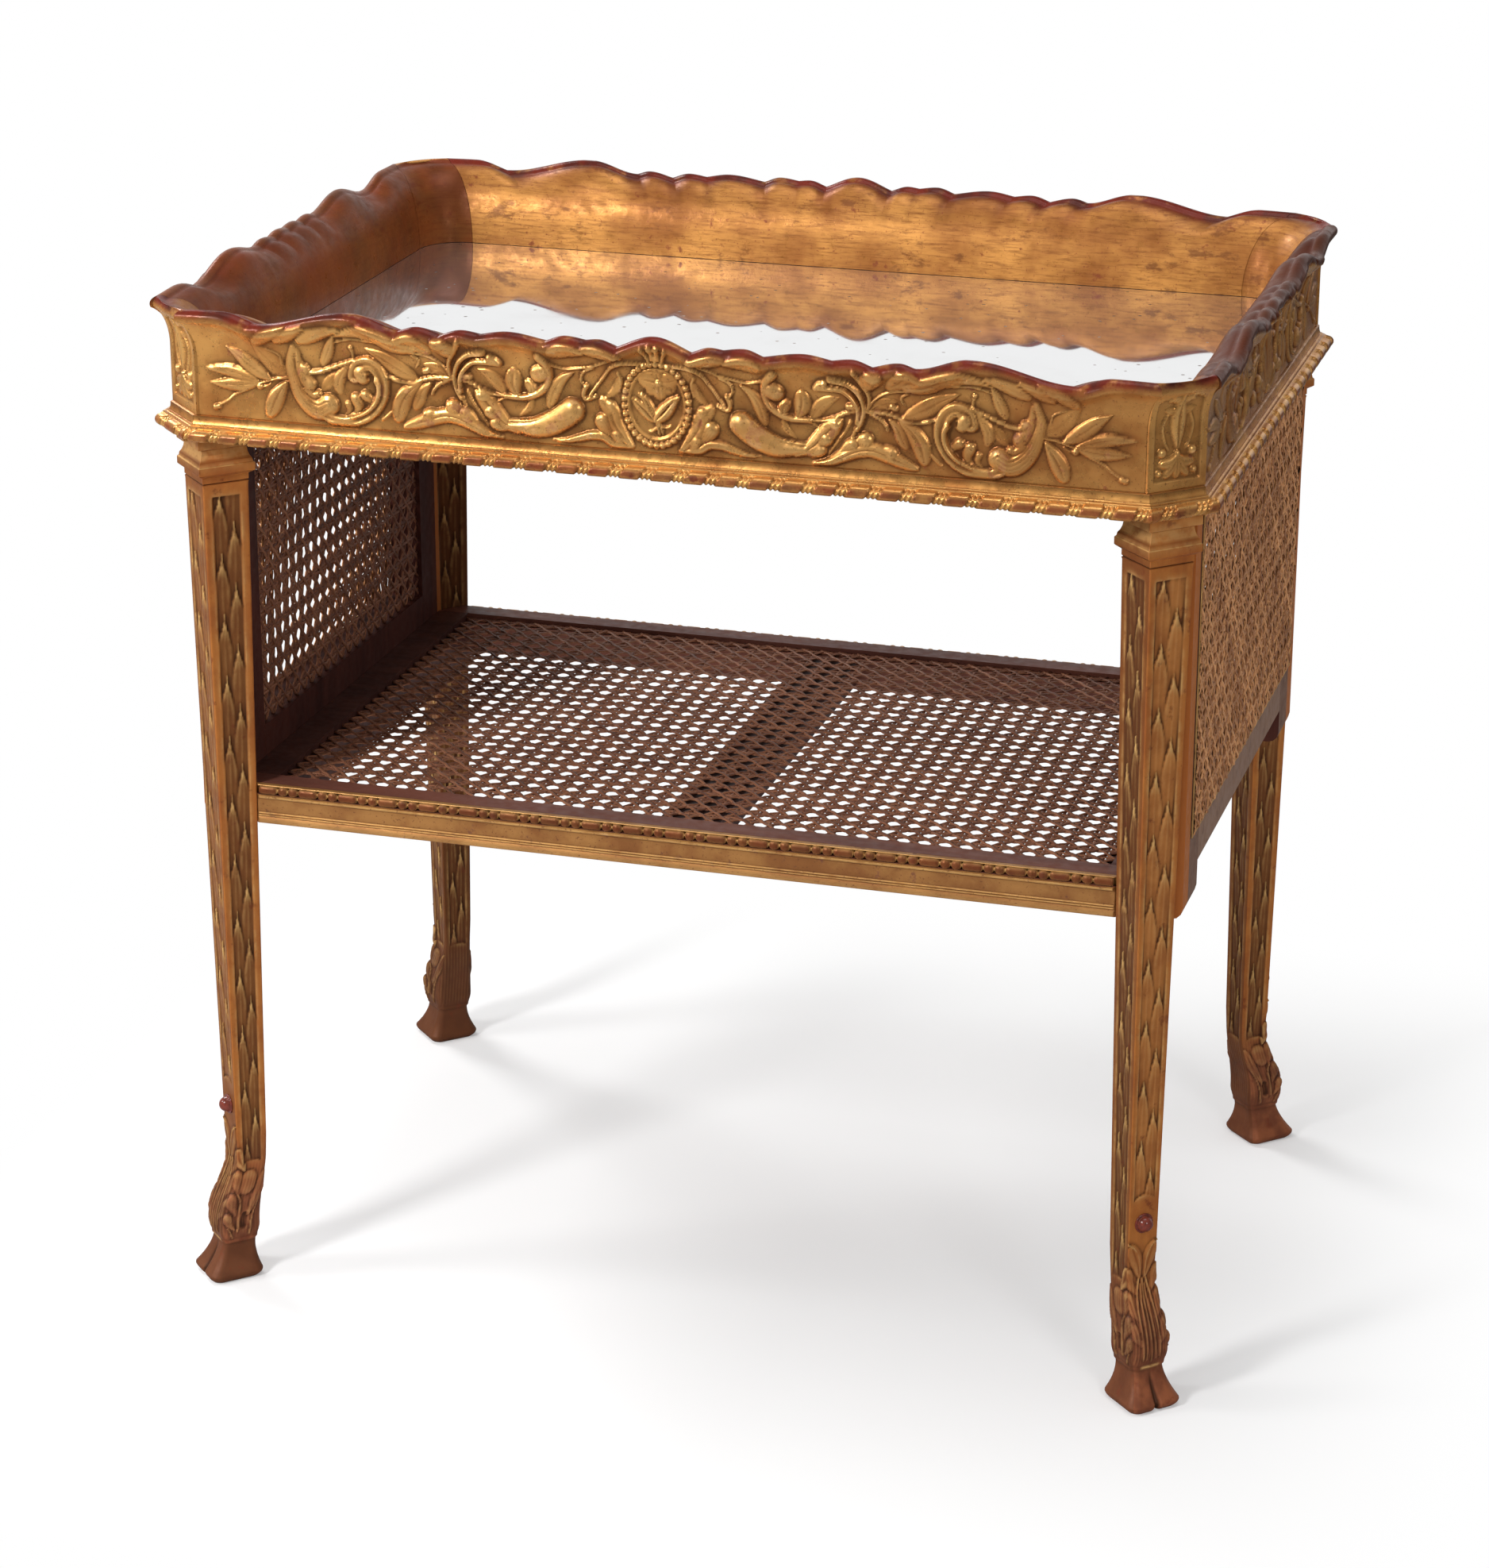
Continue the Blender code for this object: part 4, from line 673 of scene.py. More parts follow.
def old_mirror(name):
    """Antiqued plate: silver with small dark foxing and a faint grey bloom."""
    look = Look(name, Metallic=0.96)
    cells = look.node("TexVoronoi", {"Vector": look.place, "Scale": 70})["Distance"]
    spots = look.times(look.span(cells, 0.06, 0.13, 1.0, 0.0), look.blots(0.40, 0.46, 31, 3))
    bloom = look.blots(0.45, 0.75, 14, 5, 0.6)
    silver = look.mix(bloom, (0.86, 0.865, 0.87), (0.78, 0.78, 0.78), 0.5)
    look.set("Base Color", look.mix(spots, silver, (0.16, 0.15, 0.14), 0.85))
    look.set("Roughness", look.span(look.most(spots, look.times(bloom, 0.25)), 0, 1, 0.03, 0.3))
    return look.made


def red_boss(name):
    look = Look(name, Specular_IOR_Level=0.35)
    look.set("Base Color", look.mix(look.blots(0.4, 0.7, 240), (0.175, 0.034, 0.022), (0.10, 0.024, 0.016)))
    look.set("Roughness", look.roughness(500, 0.14, 0.22, 3))
    look.bump(look.noise(700, 2), 0.05, 0.0003)
    return look.made


LEG_ORANGE = (0.42, 0.135, 0.035)
STILE_EDGE_Y = 0.1992
NOWHERE = 9.0

GILT = gilding(
    "gilt_tray", (0.72, 0.360, 0.105), (0.50, 0.205, 0.055), (0.18, 0.045, 0.020), 0.64, 0.30, 0.70
)
SHELF_FACE_GILT = gilding(
    "gilt_shelf", (0.42, 0.200, 0.064), (0.27, 0.108, 0.036), (0.14, 0.048, 0.028), 0.60, 0.42, 0.5
)
BEAD_GILT = gilding(
    "gilt_beads", (0.36, 0.160, 0.055), (0.20, 0.074, 0.030), (0.13, 0.040, 0.020), 0.62, 0.36, 0.4
)
LEG_GILT = leg_gilding("gilt_legs")
STILE_WOOD = outer_wood("stile_wood", (0.20, 0.110, 0.074), (0.14, 0.072, 0.048), STILE_EDGE_Y)
FRAME_WOOD = outer_wood("panel_wood", (0.27, 0.160, 0.110), (0.18, 0.100, 0.068), NOWHERE)
SHELF_GILT = shelf_gilding("shelf_gilt")
SHELF_WOOD = brown_wood("shelf_wood", (0.105, 0.040, 0.029), (0.062, 0.023, 0.018))
BOARD_WOOD = brown_wood("board_wood", (0.16, 0.085, 0.045), (0.09, 0.045, 0.025))
CANE = cane_skin("cane_brown", (0.140, 0.052, 0.030), (0.31, 0.130, 0.068))
CANE_GOLD = cane_skin("cane_golden", (0.30, 0.120, 0.048), (0.68, 0.330, 0.140))
MIRROR = old_mirror("old_mirror")
RED = red_boss("red_boss")


# Gallery of the tray

LONG_COLUMNS = 820
SHORT_COLUMNS = 560
CORNER_COLUMNS = 61
FACE_ROWS = 84
LIP_ROWS = 12
INNER_ROWS = 22
CARVED_ROWS = FACE_ROWS + 5
SHORT_SCALLOP = 0.09
NOTCH_SHARPNESS = 0.75
NOTCH_DEPTH = 0.0011
NOTCH_REACH = 20
END_FADE = 0.004


def crest_rise(crest, share):
    """Height of the crest above its mean, at a share of the half rail. Scallops meet in sharp notches."""
    share = np.abs(share)
    rise = np.zeros_like(share)
    for (s0, r0), (s1, r1) in zip(crest, crest[1:]):
        here = (share >= s0) & (share <= s1)
        t = clipped((share - s0) / (s1 - s0))
        smooth = (1 - np.cos(np.pi * t)) / 2
        notch = 1 - np.cos(np.pi / 2 * t) if r1 < r0 else np.sin(np.pi / 2 * t)
        sharpness = NOTCH_SHARPNESS if s1 - s0 < SHORT_SCALLOP else 0.0
        rise = np.where(here, r0 + (r1 - r0) * (smooth + (notch - smooth) * sharpness), rise)
    return rise


def gallery_ring(crest):
    """Section points (offset, height) round a rail for each crest height, and the share of the outer face."""
    crest = np.asarray(crest)[:, None]
    one = np.ones_like(crest)
    lip_x, lip_z = FLARE - LIP_RADIUS, crest - LIP_RADIUS
    first = math.radians(LIP_TURNS[0])
    cove_x = lip_x + LIP_RADIUS * math.cos(first)
    cove_z = lip_z + LIP_RADIUS * math.sin(first)
    foot_z = crest - FLARE_HEIGHT
    t = np.linspace(0, 1, FACE_ROWS)[None, :]
    t = t + 0.055 * np.sin(2 * np.pi * clipped((t - 0.5) * 2)) * (t > 0.5)
    up = cove_z * t
    bend = clipped((up - foot_z) / (cove_z - foot_z)) * math.sin(CAVETTO_TURN)
    out = cove_x * (1 - np.sqrt(1 - bend**2)) / (1 - math.cos(CAVETTO_TURN))
    turn = np.radians(np.linspace(*LIP_TURNS, LIP_ROWS + 1)[1:])[None, :]
    lip_out = lip_x + LIP_RADIUS * np.cos(turn) + 0 * crest
    lip_up = lip_z + LIP_RADIUS * np.sin(turn)
    top_x, top_z = lip_out[:, -1:], lip_up[:, -1:]
    turn = np.radians(np.linspace(90, 0, INNER_ROWS + 1)[1:])[None, :]
    in_out = -RAIL_THICKNESS + (top_x + RAIL_THICKNESS) * (1 - np.cos(turn))
    rise = np.sin(turn)
    ramp = clipped((rise - 0.70) / 0.30)
    ramp = ramp * ramp * (3 - 2 * ramp)
    mean_top = top_z - crest + CREST_HEIGHT
    in_up = REBATE_HEIGHT + (mean_top - REBATE_HEIGHT) * rise + (crest - CREST_HEIGHT) * ramp
    back = (REBATE_WIDTH - RAIL_THICKNESS) * one
    outs = np.hstack([out, lip_out, in_out, back, back])
    ups = np.hstack([up, lip_up, in_up, REBATE_HEIGHT * one, 0 * one])
    inward = clipped((np.arange(LIP_ROWS) - 4) / 5)
    share = np.concatenate([np.ones(FACE_ROWS), 1 - inward, np.zeros(INNER_ROWS + 2)])
    return outs, ups, share


def pushed(outs, ups, height):
    """Section points moved by a height in millimetres along the section's outward normals."""
    along_out, along_up = np.gradient(outs, axis=1), np.gradient(ups, axis=1)
    size = np.hypot(along_out, along_up) + 1e-9
    return outs + along_up / size * height / MM, ups - along_out / size * height / MM


def face_fade(rows):
    """Fades the carving out at the foot of the face and under the lip."""
    return clipped(rows / 3) * clipped((CARVED_ROWS - rows) / 6)


def lip_band(outs, level):
    lip = np.zeros_like(outs)
    lip[:, FACE_ROWS + 1 : FACE_ROWS + LIP_ROWS + 2] = level
    return blurred(lip, 1.3)


def relief_values(height, lip, umber_and_shade):
    """What the gilding reads: painted shade in the hollows beside the carving, its high spots, painted
    highlights on its edges, lip and inside.
    """
    near, wide = blurred(height, 2.2), blurred(height, 5.0)
    inside = np.zeros_like(height)
    inside[:, FACE_ROWS + LIP_ROWS - 2 :] = 1
    return {
        # Painted shade in the hollows beside the carving, narrow and wide
        "hollow": np.maximum(clipped((near - height) / 0.60), clipped((wide - height) / 1.7, 0.75)),
        "high": clipped(height / 3.5),
        # Painted highlight where the carving stands above its surroundings
        "gilt_and_highlight": clipped((height - wide) / 1.1),
        "lacquer": clipped(lip),
        "inside": inside,
        "umber_and_shade": umber_and_shade,
    }


def inner_dark(rows, dark, notch):
    """How brown the inner face is down its rows, partly as painted shade: painted shade under the lip, most
    below notches, then as given.
    """
    below = rows - FACE_ROWS - LIP_ROWS
    # Painted shade under the lip, strongest below the notches
    under = clipped(1 - (below + 3) / 16) ** 0.8 * (0.45 + 0.55 * notch)
    lower = 1 - 0.12 * clipped(below / 24)
    return np.where(below < -3, 0, np.maximum(dark * lower, under))


def medallion(x, z):
    """Oval of beads round a flower and three leaves, and the place of each point in the oval."""
    ring = np.hypot(x / OVAL_HALF[0], (z - OVAL_UP) / OVAL_HALF[1])
    height = np.maximum(carve(x, z, MEDALLION), 1.3 * bell((ring - 0.86) * 22))
    for step in range(OVAL_BEADS):
        turn = 2 * np.pi * (step + 0.5) / OVAL_BEADS
        at_x = OVAL_HALF[0] * math.cos(turn)
        at_z = OVAL_UP + OVAL_HALF[1] * math.sin(turn)
        q = np.hypot(x - at_x, z - at_z) / OVAL_BEAD_RADIUS
        height = np.maximum(height, OVAL_BEAD_RISE * np.sqrt(clipped(1 - q * q)))
    return ring, height


def rail_relief(x, z, long_side):
    if long_side:
        height = carve(x, z, paired(*FRIEZE))
        ring, oval = medallion(x, z)
        return np.where(ring < 1.08, oval, height)
    half = tuple(s for s in shifted(FRIEZE, SHORT_SHIFT) if max(p[0] for p in s[3]) < -2)
    return carve(x, z, paired(*half) + SHORT_CENTRE)


def gallery_rail(side, turn, long_side, dark, outer_shade, ramp=0.0, top_shade=0.0):
    """A carved rail. dark browns its inner face, partly as painted shade. The next two paint shade on its
    outer face, the second growing along the rail, and the last paints shade on its top and inside.
    """
    crest = LONG_CREST if long_side else SHORT_CREST
    half, face = (HALF_LENGTH, HALF_DEPTH) if long_side else (HALF_DEPTH, HALF_LENGTH)
    half = half - CORNER_CUT
    share = np.linspace(-1, 1, LONG_COLUMNS if long_side else SHORT_COLUMNS)
    rise = crest_rise(crest, share)
    outs, ups, _ = gallery_ring(CREST_HEIGHT + rise)
    window = 2 * NOTCH_REACH + 1
    even = np.convolve(np.pad(rise, NOTCH_REACH, "edge"), np.full(window, 1 / window), "valid")
    notch = clipped((even - rise) / NOTCH_DEPTH)[:, None]
    share = share[:, None]
    x = share * (half + outs - GAP * ROOT2)
    height = np.zeros_like(outs)
    height[:, :CARVED_ROWS] = rail_relief(x[:, :CARVED_ROWS] * MM, ups[:, :CARVED_ROWS] * MM, long_side)
    rows = np.arange(outs.shape[1])[None, :]
    height = height * face_fade(rows) * clipped((1 - np.abs(share)) * half / END_FADE)
    out, up = pushed(outs, ups, height)
    points = turn_z(np.stack([x, -face - out, up], -1), turn, (0, 0, SEAT_Z))
    lip = lip_band(outs, 1 - 0.75 * (dark > 0.5)) * clipped(1.2 - height / 1.6)
    umber_and_shade = inner_dark(rows, dark, notch) + 0 * lip
    # Painted shade on the outer face, even and growing along the rail
    umber_and_shade[:, :FACE_ROWS] = clipped(outer_shade + ramp * (share + 0.2))
    # Umber on the lip; on rails with a dark inner face it is heavier and also painted shade
    umber_and_shade[:, FACE_ROWS : FACE_ROWS + LIP_ROWS] = 0.9 if dark > 0.5 else 0.25
    values = relief_values(height, lip, umber_and_shade)
    # Painted shade over the lip and inner face
    values["top_shade"] = top_shade * (rows >= FACE_ROWS) + 0 * lip
    lofted("carved_", f"gallery_rail_{side}", points, GILT, values, (0, -1, -2, -3))


PANEL_HALF = 18.2
PANEL_FOOT = 6.5
PANEL_HEAD = 66
PANEL_SAG = 4
CORNER_SINK = 1.5


def corner_middle(sign_x, sign_y, z):
    return sign_x * (HALF_LENGTH - CORNER_CUT / 2), sign_y * (HALF_DEPTH - CORNER_CUT / 2), z


def gallery_corner(name, sign_x, sign_y, turn):
    """A corner with carving in a sunk panel, straight outside and hollowed to an arc inside."""
    # A darker inner face on the back left corner: brown, partly painted shade
    dark = 0.92 if name == "bl" else 0.35
    half = CORNER_CUT / ROOT2
    across = np.linspace(-half, half, CORNER_COLUMNS)[:, None]
    outs, ups, share = gallery_ring(np.full(CORNER_COLUMNS, CREST_HEIGHT))
    hollow = np.sqrt(CORNER_CUT**2 - across**2) - half
    height = np.zeros_like(outs)
    y = across * MM + 0 * outs[:, :CARVED_ROWS]
    z = ups[:, :CARVED_ROWS] * MM
    sunk = (np.abs(y) < PANEL_HALF) & (z > PANEL_FOOT) & (z < PANEL_HEAD - PANEL_SAG * (y / PANEL_HALF) ** 2)
    height[:, :CARVED_ROWS] = np.where(sunk, carve(y, z, CORNER) - CORNER_SINK, 0)
    rows = np.arange(outs.shape[1])[None, :]
    height = height * face_fade(rows)
    out, up = pushed(outs, ups, height)
    x = share * (CORNER_PROUD + out) + (1 - share) * (outs * ROOT2 + hollow)
    points = turn_z(np.stack([x, across + 0 * x, up], -1), turn, corner_middle(sign_x, sign_y, SEAT_Z))
    lip = lip_band(outs, 1 - 0.6 * (dark > 0.5))
    values = relief_values(height, lip, inner_dark(rows, dark, 0.3) + 0 * lip)
    values["hollow"] = values["hollow"] * 0.6
    lofted("carved_", f"gallery_corner_{name}", points, GILT, values, (0, -1, -2, -3))


def build_gallery():
    # After the turn and long side: brown and painted shade inside, painted shade outside, its growth along
    # the rail, painted shade on top
    gallery_rail("front", 0.0, True, 0.2, 0.0, 0.30)
    gallery_rail("right", math.pi / 2, False, 0.9, 0.5, 0.0, 0.65)
    gallery_rail("back", math.pi, True, 0.0, 0.15)
    gallery_rail("left", -math.pi / 2, False, 0.95, 0.3)
    for corner in CORNERS:
        gallery_corner(*corner)


# Base moulding of the tray

LONG_BASE_COLUMNS = 900
SHORT_BASE_COLUMNS = 600
BLOCK_COLUMNS = 64
BASE_HEIGHT = 0.018
BASE_INSET = 0.026
BAND_PROUD = 0.0022
BAND_HEIGHT = 0.0060
BAND_HOLLOW = 0.0010
FILLET_STEP = 0.0024
FILLET_HEIGHT = 0.0013
RIBBON_FOOT = 0.0082
RIBBON_PROUD = 0.0050
RIBBON_PITCH = 0.0228
RIBBON_ROWS = 18
RIBBON_SLANT = 0.26
MITRE_INSET = 0.004
BLOCK_DEPTH = 0.05
BASE_CUT = CORNER_CUT - CORNER_PROUD * ROOT2
EASE = 0.0005

# Points of the flat section with a crisp edge, and their painted highlight and painted shade
FLAT_SHARP = (1, 6, 7, 8, 9, 10, 11, 12, 13)
FLAT_HIGHLIGHT = {8: 0.9, 9: 0.7, 12: 0.9, 13: 0.6}
FLAT_SHADE = {0: 0.7, 1: 0.8, 2: 0.45, 3: 0.2, 6: 0.4, 7: 0.5, 10: 0.6, 11: 0.5}

# Stick and ribbon: shares of a pitch where the stick ends and the ribbon's folds start
STICK_END = 0.64
FOLD_START = 0.66


def base_flat():
    """Section (offset, height) of the hollowed band and its two fillets."""
    flat = [(BAND_PROUD - EASE, 0.0), (BAND_PROUD, -EASE)]
    for t in (0.2, 0.4, 0.6, 0.8, 1.0):
        flat.append((BAND_PROUD + BAND_HOLLOW * t**2.5, -EASE - t * (BAND_HEIGHT - EASE)))
    for step in (1, 2):
        out = BAND_PROUD + step * FILLET_STEP
        top = -BAND_HEIGHT - (step - 1) * FILLET_HEIGHT
        flat += [(out - EASE, top), (out, top - EASE), (out, top - FILLET_HEIGHT + EASE / 2)]
        if step == 1:
            flat.append((out + EASE, top - FILLET_HEIGHT))
    return flat


def ribbon(s, turn):
    """Stick and crinkled ribbon on the torus: share of its full height, painted shade in the groove, red, and
    gilt edge with painted highlight.
    """
    phase = s / RIBBON_PITCH - turn / math.pi * RIBBON_SLANT
    u = phase - np.floor(phase)
    ends = clipped(np.minimum(u, STICK_END - u) / 0.05)
    stick = np.sqrt(clipped(1 - (1 - ends) ** 2))
    across = clipped((u - 0.68) / 0.30)
    fold = np.where(u > FOLD_START, 0.5 - 0.5 * np.cos(4 * np.pi * across), 0)
    height = 0.62 + np.where(u < STICK_END, 0.36 * stick, 0.30 * fold)
    # Painted shade in the grooves between stick and ribbon
    groove_shade = clipped(1 - np.abs(u - FOLD_START) / 0.035) + 0.5 * clipped(1 - np.minimum(u, 1 - u) / 0.03)
    red = stick * clipped(1.2 - np.abs(turn - 0.05) / 0.85, 0.85)
    # Gilt of the folds and of the stick's top, brightened as painted highlight
    edge = 0.9 * fold**2 + stick * bell((turn - 0.95) / 0.20)
    return height, clipped(groove_shade), red, clipped(edge)


def base_section(at, depth):
    """Offsets and heights round the moulding for each place along it, with a hidden back of this depth,
    and the values that its gilding reads."""
    at = at[:, None]
    rows = []
    for number, (out, up) in enumerate(base_flat()):
        rows.append((out, up, FLAT_SHADE.get(number, 0.0), 0.0, FLAT_HIGHLIGHT.get(number, 0.0)))
    top = -BAND_HEIGHT - 2 * FILLET_HEIGHT
    centre = (top - BASE_HEIGHT) / 2
    for turn in np.radians(np.linspace(90, -90, RIBBON_ROWS)):
        height, groove_shade, red, edge = ribbon(at, np.full_like(at, turn))
        out = RIBBON_FOOT + RIBBON_PROUD * height * math.cos(turn)
        up = centre + (top - centre) * clipped(height) * math.sin(turn)
        rows.append((out, up, groove_shade, red, edge))
    for back in ((-MITRE_INSET, -BASE_HEIGHT), (-depth, -BASE_HEIGHT), (-depth, 0.0), (-MITRE_INSET, 0.0)):
        rows.append((*back, 0.0, 0.0, 0.0))
    columns = [np.hstack([field + 0 * at for field in fields]) for fields in zip(*rows)]
    outs, ups, groove_shades, reds, edges = columns
    # Painted shade in grooves and creases, red lacquer on the stick, gilt and painted highlight on edges
    return outs, ups, {"hollow": groove_shades * 0.9, "high": reds * 0.4, "lacquer": reds, "gilt_and_highlight": edges}


def base_piece(node, points, values):
    lofted("ribbon_", node, points, GILT, values, (*FLAT_SHARP, *range(-5, 0)))


def base_rail(side, half, face, turn, columns):
    share = np.linspace(-1, 1, columns)
    outs, ups, values = base_section(share * half, BASE_INSET)
    front = np.maximum(outs, -MITRE_INSET)
    reach = half + front * (ROOT2 - 1) + np.minimum(outs + MITRE_INSET, 0) - GAP
    points = np.stack([share[:, None] * reach, -face - outs, ups], -1)
    base_piece(f"base_moulding_{side}", turn_z(points, turn, (0, 0, TRAY_FOOT_Z)), values)


def base_corner(name, sign_x, sign_y, turn):
    share = np.linspace(-1, 1, BLOCK_COLUMNS)
    outs, ups, values = base_section(share * BASE_CUT / ROOT2 + RIBBON_PITCH / 3, BLOCK_DEPTH)
    reach = (BASE_CUT + np.maximum(outs, -MITRE_INSET) * (2 - ROOT2)) / ROOT2
    points = np.stack([CORNER_PROUD + outs, share[:, None] * reach, ups], -1)
    middle = corner_middle(sign_x, sign_y, TRAY_FOOT_Z)
    base_piece(f"base_corner_{name}", turn_z(points, turn, middle), values)


def build_base():
    base_rail("front", HALF_LENGTH - BASE_CUT, HALF_DEPTH, 0.0, LONG_BASE_COLUMNS)
    base_rail("right", HALF_DEPTH - BASE_CUT, HALF_LENGTH, math.pi / 2, SHORT_BASE_COLUMNS)
    base_rail("back", HALF_LENGTH - BASE_CUT, HALF_DEPTH, math.pi, LONG_BASE_COLUMNS)
    base_rail("left", HALF_DEPTH - BASE_CUT, HALF_LENGTH, -math.pi / 2, SHORT_BASE_COLUMNS)
    for corner in CORNERS:
        base_corner(*corner)


# Legs

LEG_X = 0.34599
LEG_Y = 0.22617
LEG_BAND_Z = 0.6357
LEG_TOP_HALF = 0.0178
LEG_FOOT_HALF = 0.0125
TAPER_FOOT_Z = 0.142
KNEE_TOP_Z = 0.100
KNEE_HALF = 0.0163
KNEE_Z = 0.043
ANKLE_HALF = 0.0134
ANKLE_BOW = 0.0127
ANKLE_LINE_Z = 0.0312
HOOF_HEIGHT = 0.0295
HOOF_HALF = 0.0217
HOOF_BOW = 0.0182
HOOF_EDGE = 0.0055
HOOF_FLARE = 1.75
SOLE_INSET = 0.0034
CLEFT_DEPTH = 0.0045
CLEFT_HALF = 0.0019
PANEL_SINK = 0.0016
PANEL_WALL = 0.0007
PANEL_TOP_Z = 0.6253
SIDE_PANEL_Z = 0.0905
FRONT_PANEL_Z = 0.156
SIDE_POINTS = 38
LEG_STEP = 0.00105
SOLE_LEVELS = (0.0, 0.0006, 0.0016)
SHAFT_FOOT_Z = 0.0026
SHAFT_STOP = 0.0022
LEAF_PITCH = 0.0468
LEAF_LAP = 1.32
LEAF_FOOT_Z = 0.10
ROUNDED_ROWS = 440
# Side of each leg that looks towards the front left, painted darker as shade
SHADED_SIDE = {"fl": 0, "fr": 3, "br": 2, "bl": 1}

KNEE_FRONT = (("s", 0.9, 1.2, ((0, 96), (0, 70), (0, 36))),) + paired(
    ("p", 4.2, 1.5, ((2.2, 97), (4.5, 109), (9.5, 123))),
    ("s", 0.8, 1.6, ((2, 98), (2.6, 110), (6, 119), (12, 125))),
    ("h", 3.4, 1.5, ((6, 86), (10, 93), (12.5, 101))),
    ("h", 3.4, 1.5, ((7, 68), (11, 75), (13.5, 83))),
    ("h", 3.2, 1.5, ((7.5, 50), (11.5, 56), (14, 63))),
    ("s", 1, 1.2, ((3, 96), (6, 80), (7, 60), (7, 38))),
    ("s", 0.8, 1, ((1.6, 92), (3, 70), (3.6, 38))),
)
KNEE_SIDE = (
    ("b", 6, 1.7, ((1, 75), (1, 81))),
    ("p", 3.4, 2.3, ((6, 88), (10, 96), (11, 105))),
    ("h", 3.2, 1.9, ((7, 70), (9.5, 77), (11.5, 84))),
    ("h", 3.2, 1.9, ((6, 54), (9, 60), (12, 66))),
    ("h", 2.6, 2.2, ((7, 42), (10, 46), (12.5, 52))),
    ("p", 3.2, 1.5, ((-4, 52), (-9, 68), (-11, 84))),
    ("s", 1, 1.5, ((4, 40), (3, 52), (4, 64), (8, 70))),
    ("s", 0.9, 1.3, ((-6, 36), (-8, 52), (-12, 70), (-13, 84))),
    ("d", 3, 1.6, ((-1, 44), (-2, 52))),
    ("s", 0.8, 1.1, ((8, 34), (10, 40), (12, 44))),
)
CAPITAL = (
    (LEG_BAND_Z - 0.0016, 0.0178), (LEG_BAND_Z - 0.0008, 0.0170), (LEG_BAND_Z, 0.0178), (0.6398, 0.0178),
    (0.6401, 0.0181), (0.6420, 0.0208), (0.6428, 0.0216), (0.6478, 0.0216), (0.6484, 0.0213),
    (0.6490, 0.0206), (0.6515, 0.0201), (0.6535, 0.0188), (0.6563, 0.0178), (0.6595, 0.0173),
    (0.6612, 0.0172), (0.6615, 0.0174), (0.6615, 0.0206), (0.6619, 0.0213), (0.6717, 0.0213),
)
# By point of the capital's profile: gilt of the cove and painted highlight on arrises, then painted shade in
# creases
CAPITAL_GILT_AND_HIGHLIGHT = {7: 0.2, 8: 1.0, 9: 0.4, 11: 0.5, 12: 0.6, 13: 0.5, 16: 0.3, 17: 0.5}
CAPITAL_SHADE = {1: 1.0, 5: 0.2, 10: 0.2, 14: 0.4, 15: 0.5}


def leg_half(z):
    return LEG_FOOT_HALF + (LEG_TOP_HALF - LEG_FOOT_HALF) * (z - TAPER_FOOT_Z) / (LEG_BAND_Z - TAPER_FOOT_Z)


def leg_shape(z):
    """Half side, outward bow and corner rounding of the leg at each height."""
    hoof = clipped((z - HOOF_EDGE) / (HOOF_HEIGHT - HOOF_EDGE))
    half = ANKLE_HALF + (HOOF_HALF - ANKLE_HALF) * (1 - hoof) ** HOOF_FLARE
    half = half - SOLE_INSET * clipped(1 - z / HOOF_EDGE) ** 2
    bow = HOOF_BOW + (ANKLE_BOW - HOOF_BOW) * hoof
    ankle = clipped((z - HOOF_HEIGHT) / (KNEE_Z - HOOF_HEIGHT))
    half = np.where(z > HOOF_HEIGHT, ANKLE_HALF + (KNEE_HALF - ANKLE_HALF) * np.sin(ankle * np.pi / 2), half)
    bow = np.where(z > HOOF_HEIGHT, ANKLE_BOW, bow)
    ease = (1 - np.cos(np.pi * clipped((z - KNEE_Z) / (KNEE_TOP_Z - KNEE_Z)))) / 2
    half = np.where(z > KNEE_Z, KNEE_HALF + (leg_half(KNEE_TOP_Z) - KNEE_HALF) * ease, half)
    half = np.where(z > KNEE_TOP_Z, leg_half(z), half)
    bow = np.where(z > KNEE_Z, ANKLE_BOW * (1 - ease), bow)
    round_low = 0.36 - 0.02 * clipped((z - 0.012) / 0.02)
    rounding = round_low + (0.07 - round_low) * clipped((z - 0.085) / 0.03)
    return half, bow, rounding


def leaf_scales(x, z, half):
    """Pointed leaves in two staggered columns, tips up, each lapping the one above."""
    height = np.zeros_like(x)
    for column, phase in ((-1, 0.0), (1, 0.5)):
        middle = column * half * 0.46
        for lag in (0, 1):
            number = np.floor((z - LEAF_FOOT_Z) / LEAF_PITCH - phase) - lag
            t = (z - LEAF_FOOT_Z - (number + phase) * LEAF_PITCH) / (LEAF_PITCH * LEAF_LAP)
            taper = clipped((t - 0.52) / 0.48)
            ogee = 1 - taper**1.25 * (1 + 0.25 * np.sin(np.pi * taper) * (taper > 0.5))
            wide = half * (0.48 + 0.18 * np.sin(np.pi * clipped(t * 1.15))) * clipped(ogee)
            off = np.abs(x - middle - column * half * 0.06 * np.sin(np.pi * t)) / np.maximum(wide, 1e-5)
            lap = 0.0003 + 0.0017 * clipped(t) ** 1.1
            rib = 0.00012 * bell(off / 0.10) + 0.00004 * np.cos(off * 3 * np.pi)
            shape = (lap + rib) * np.sqrt(clipped(1 - off**6))
            height = np.maximum(height, np.where((off < 1) & (t > 0) & (t < 1), shape, 0))
    return height


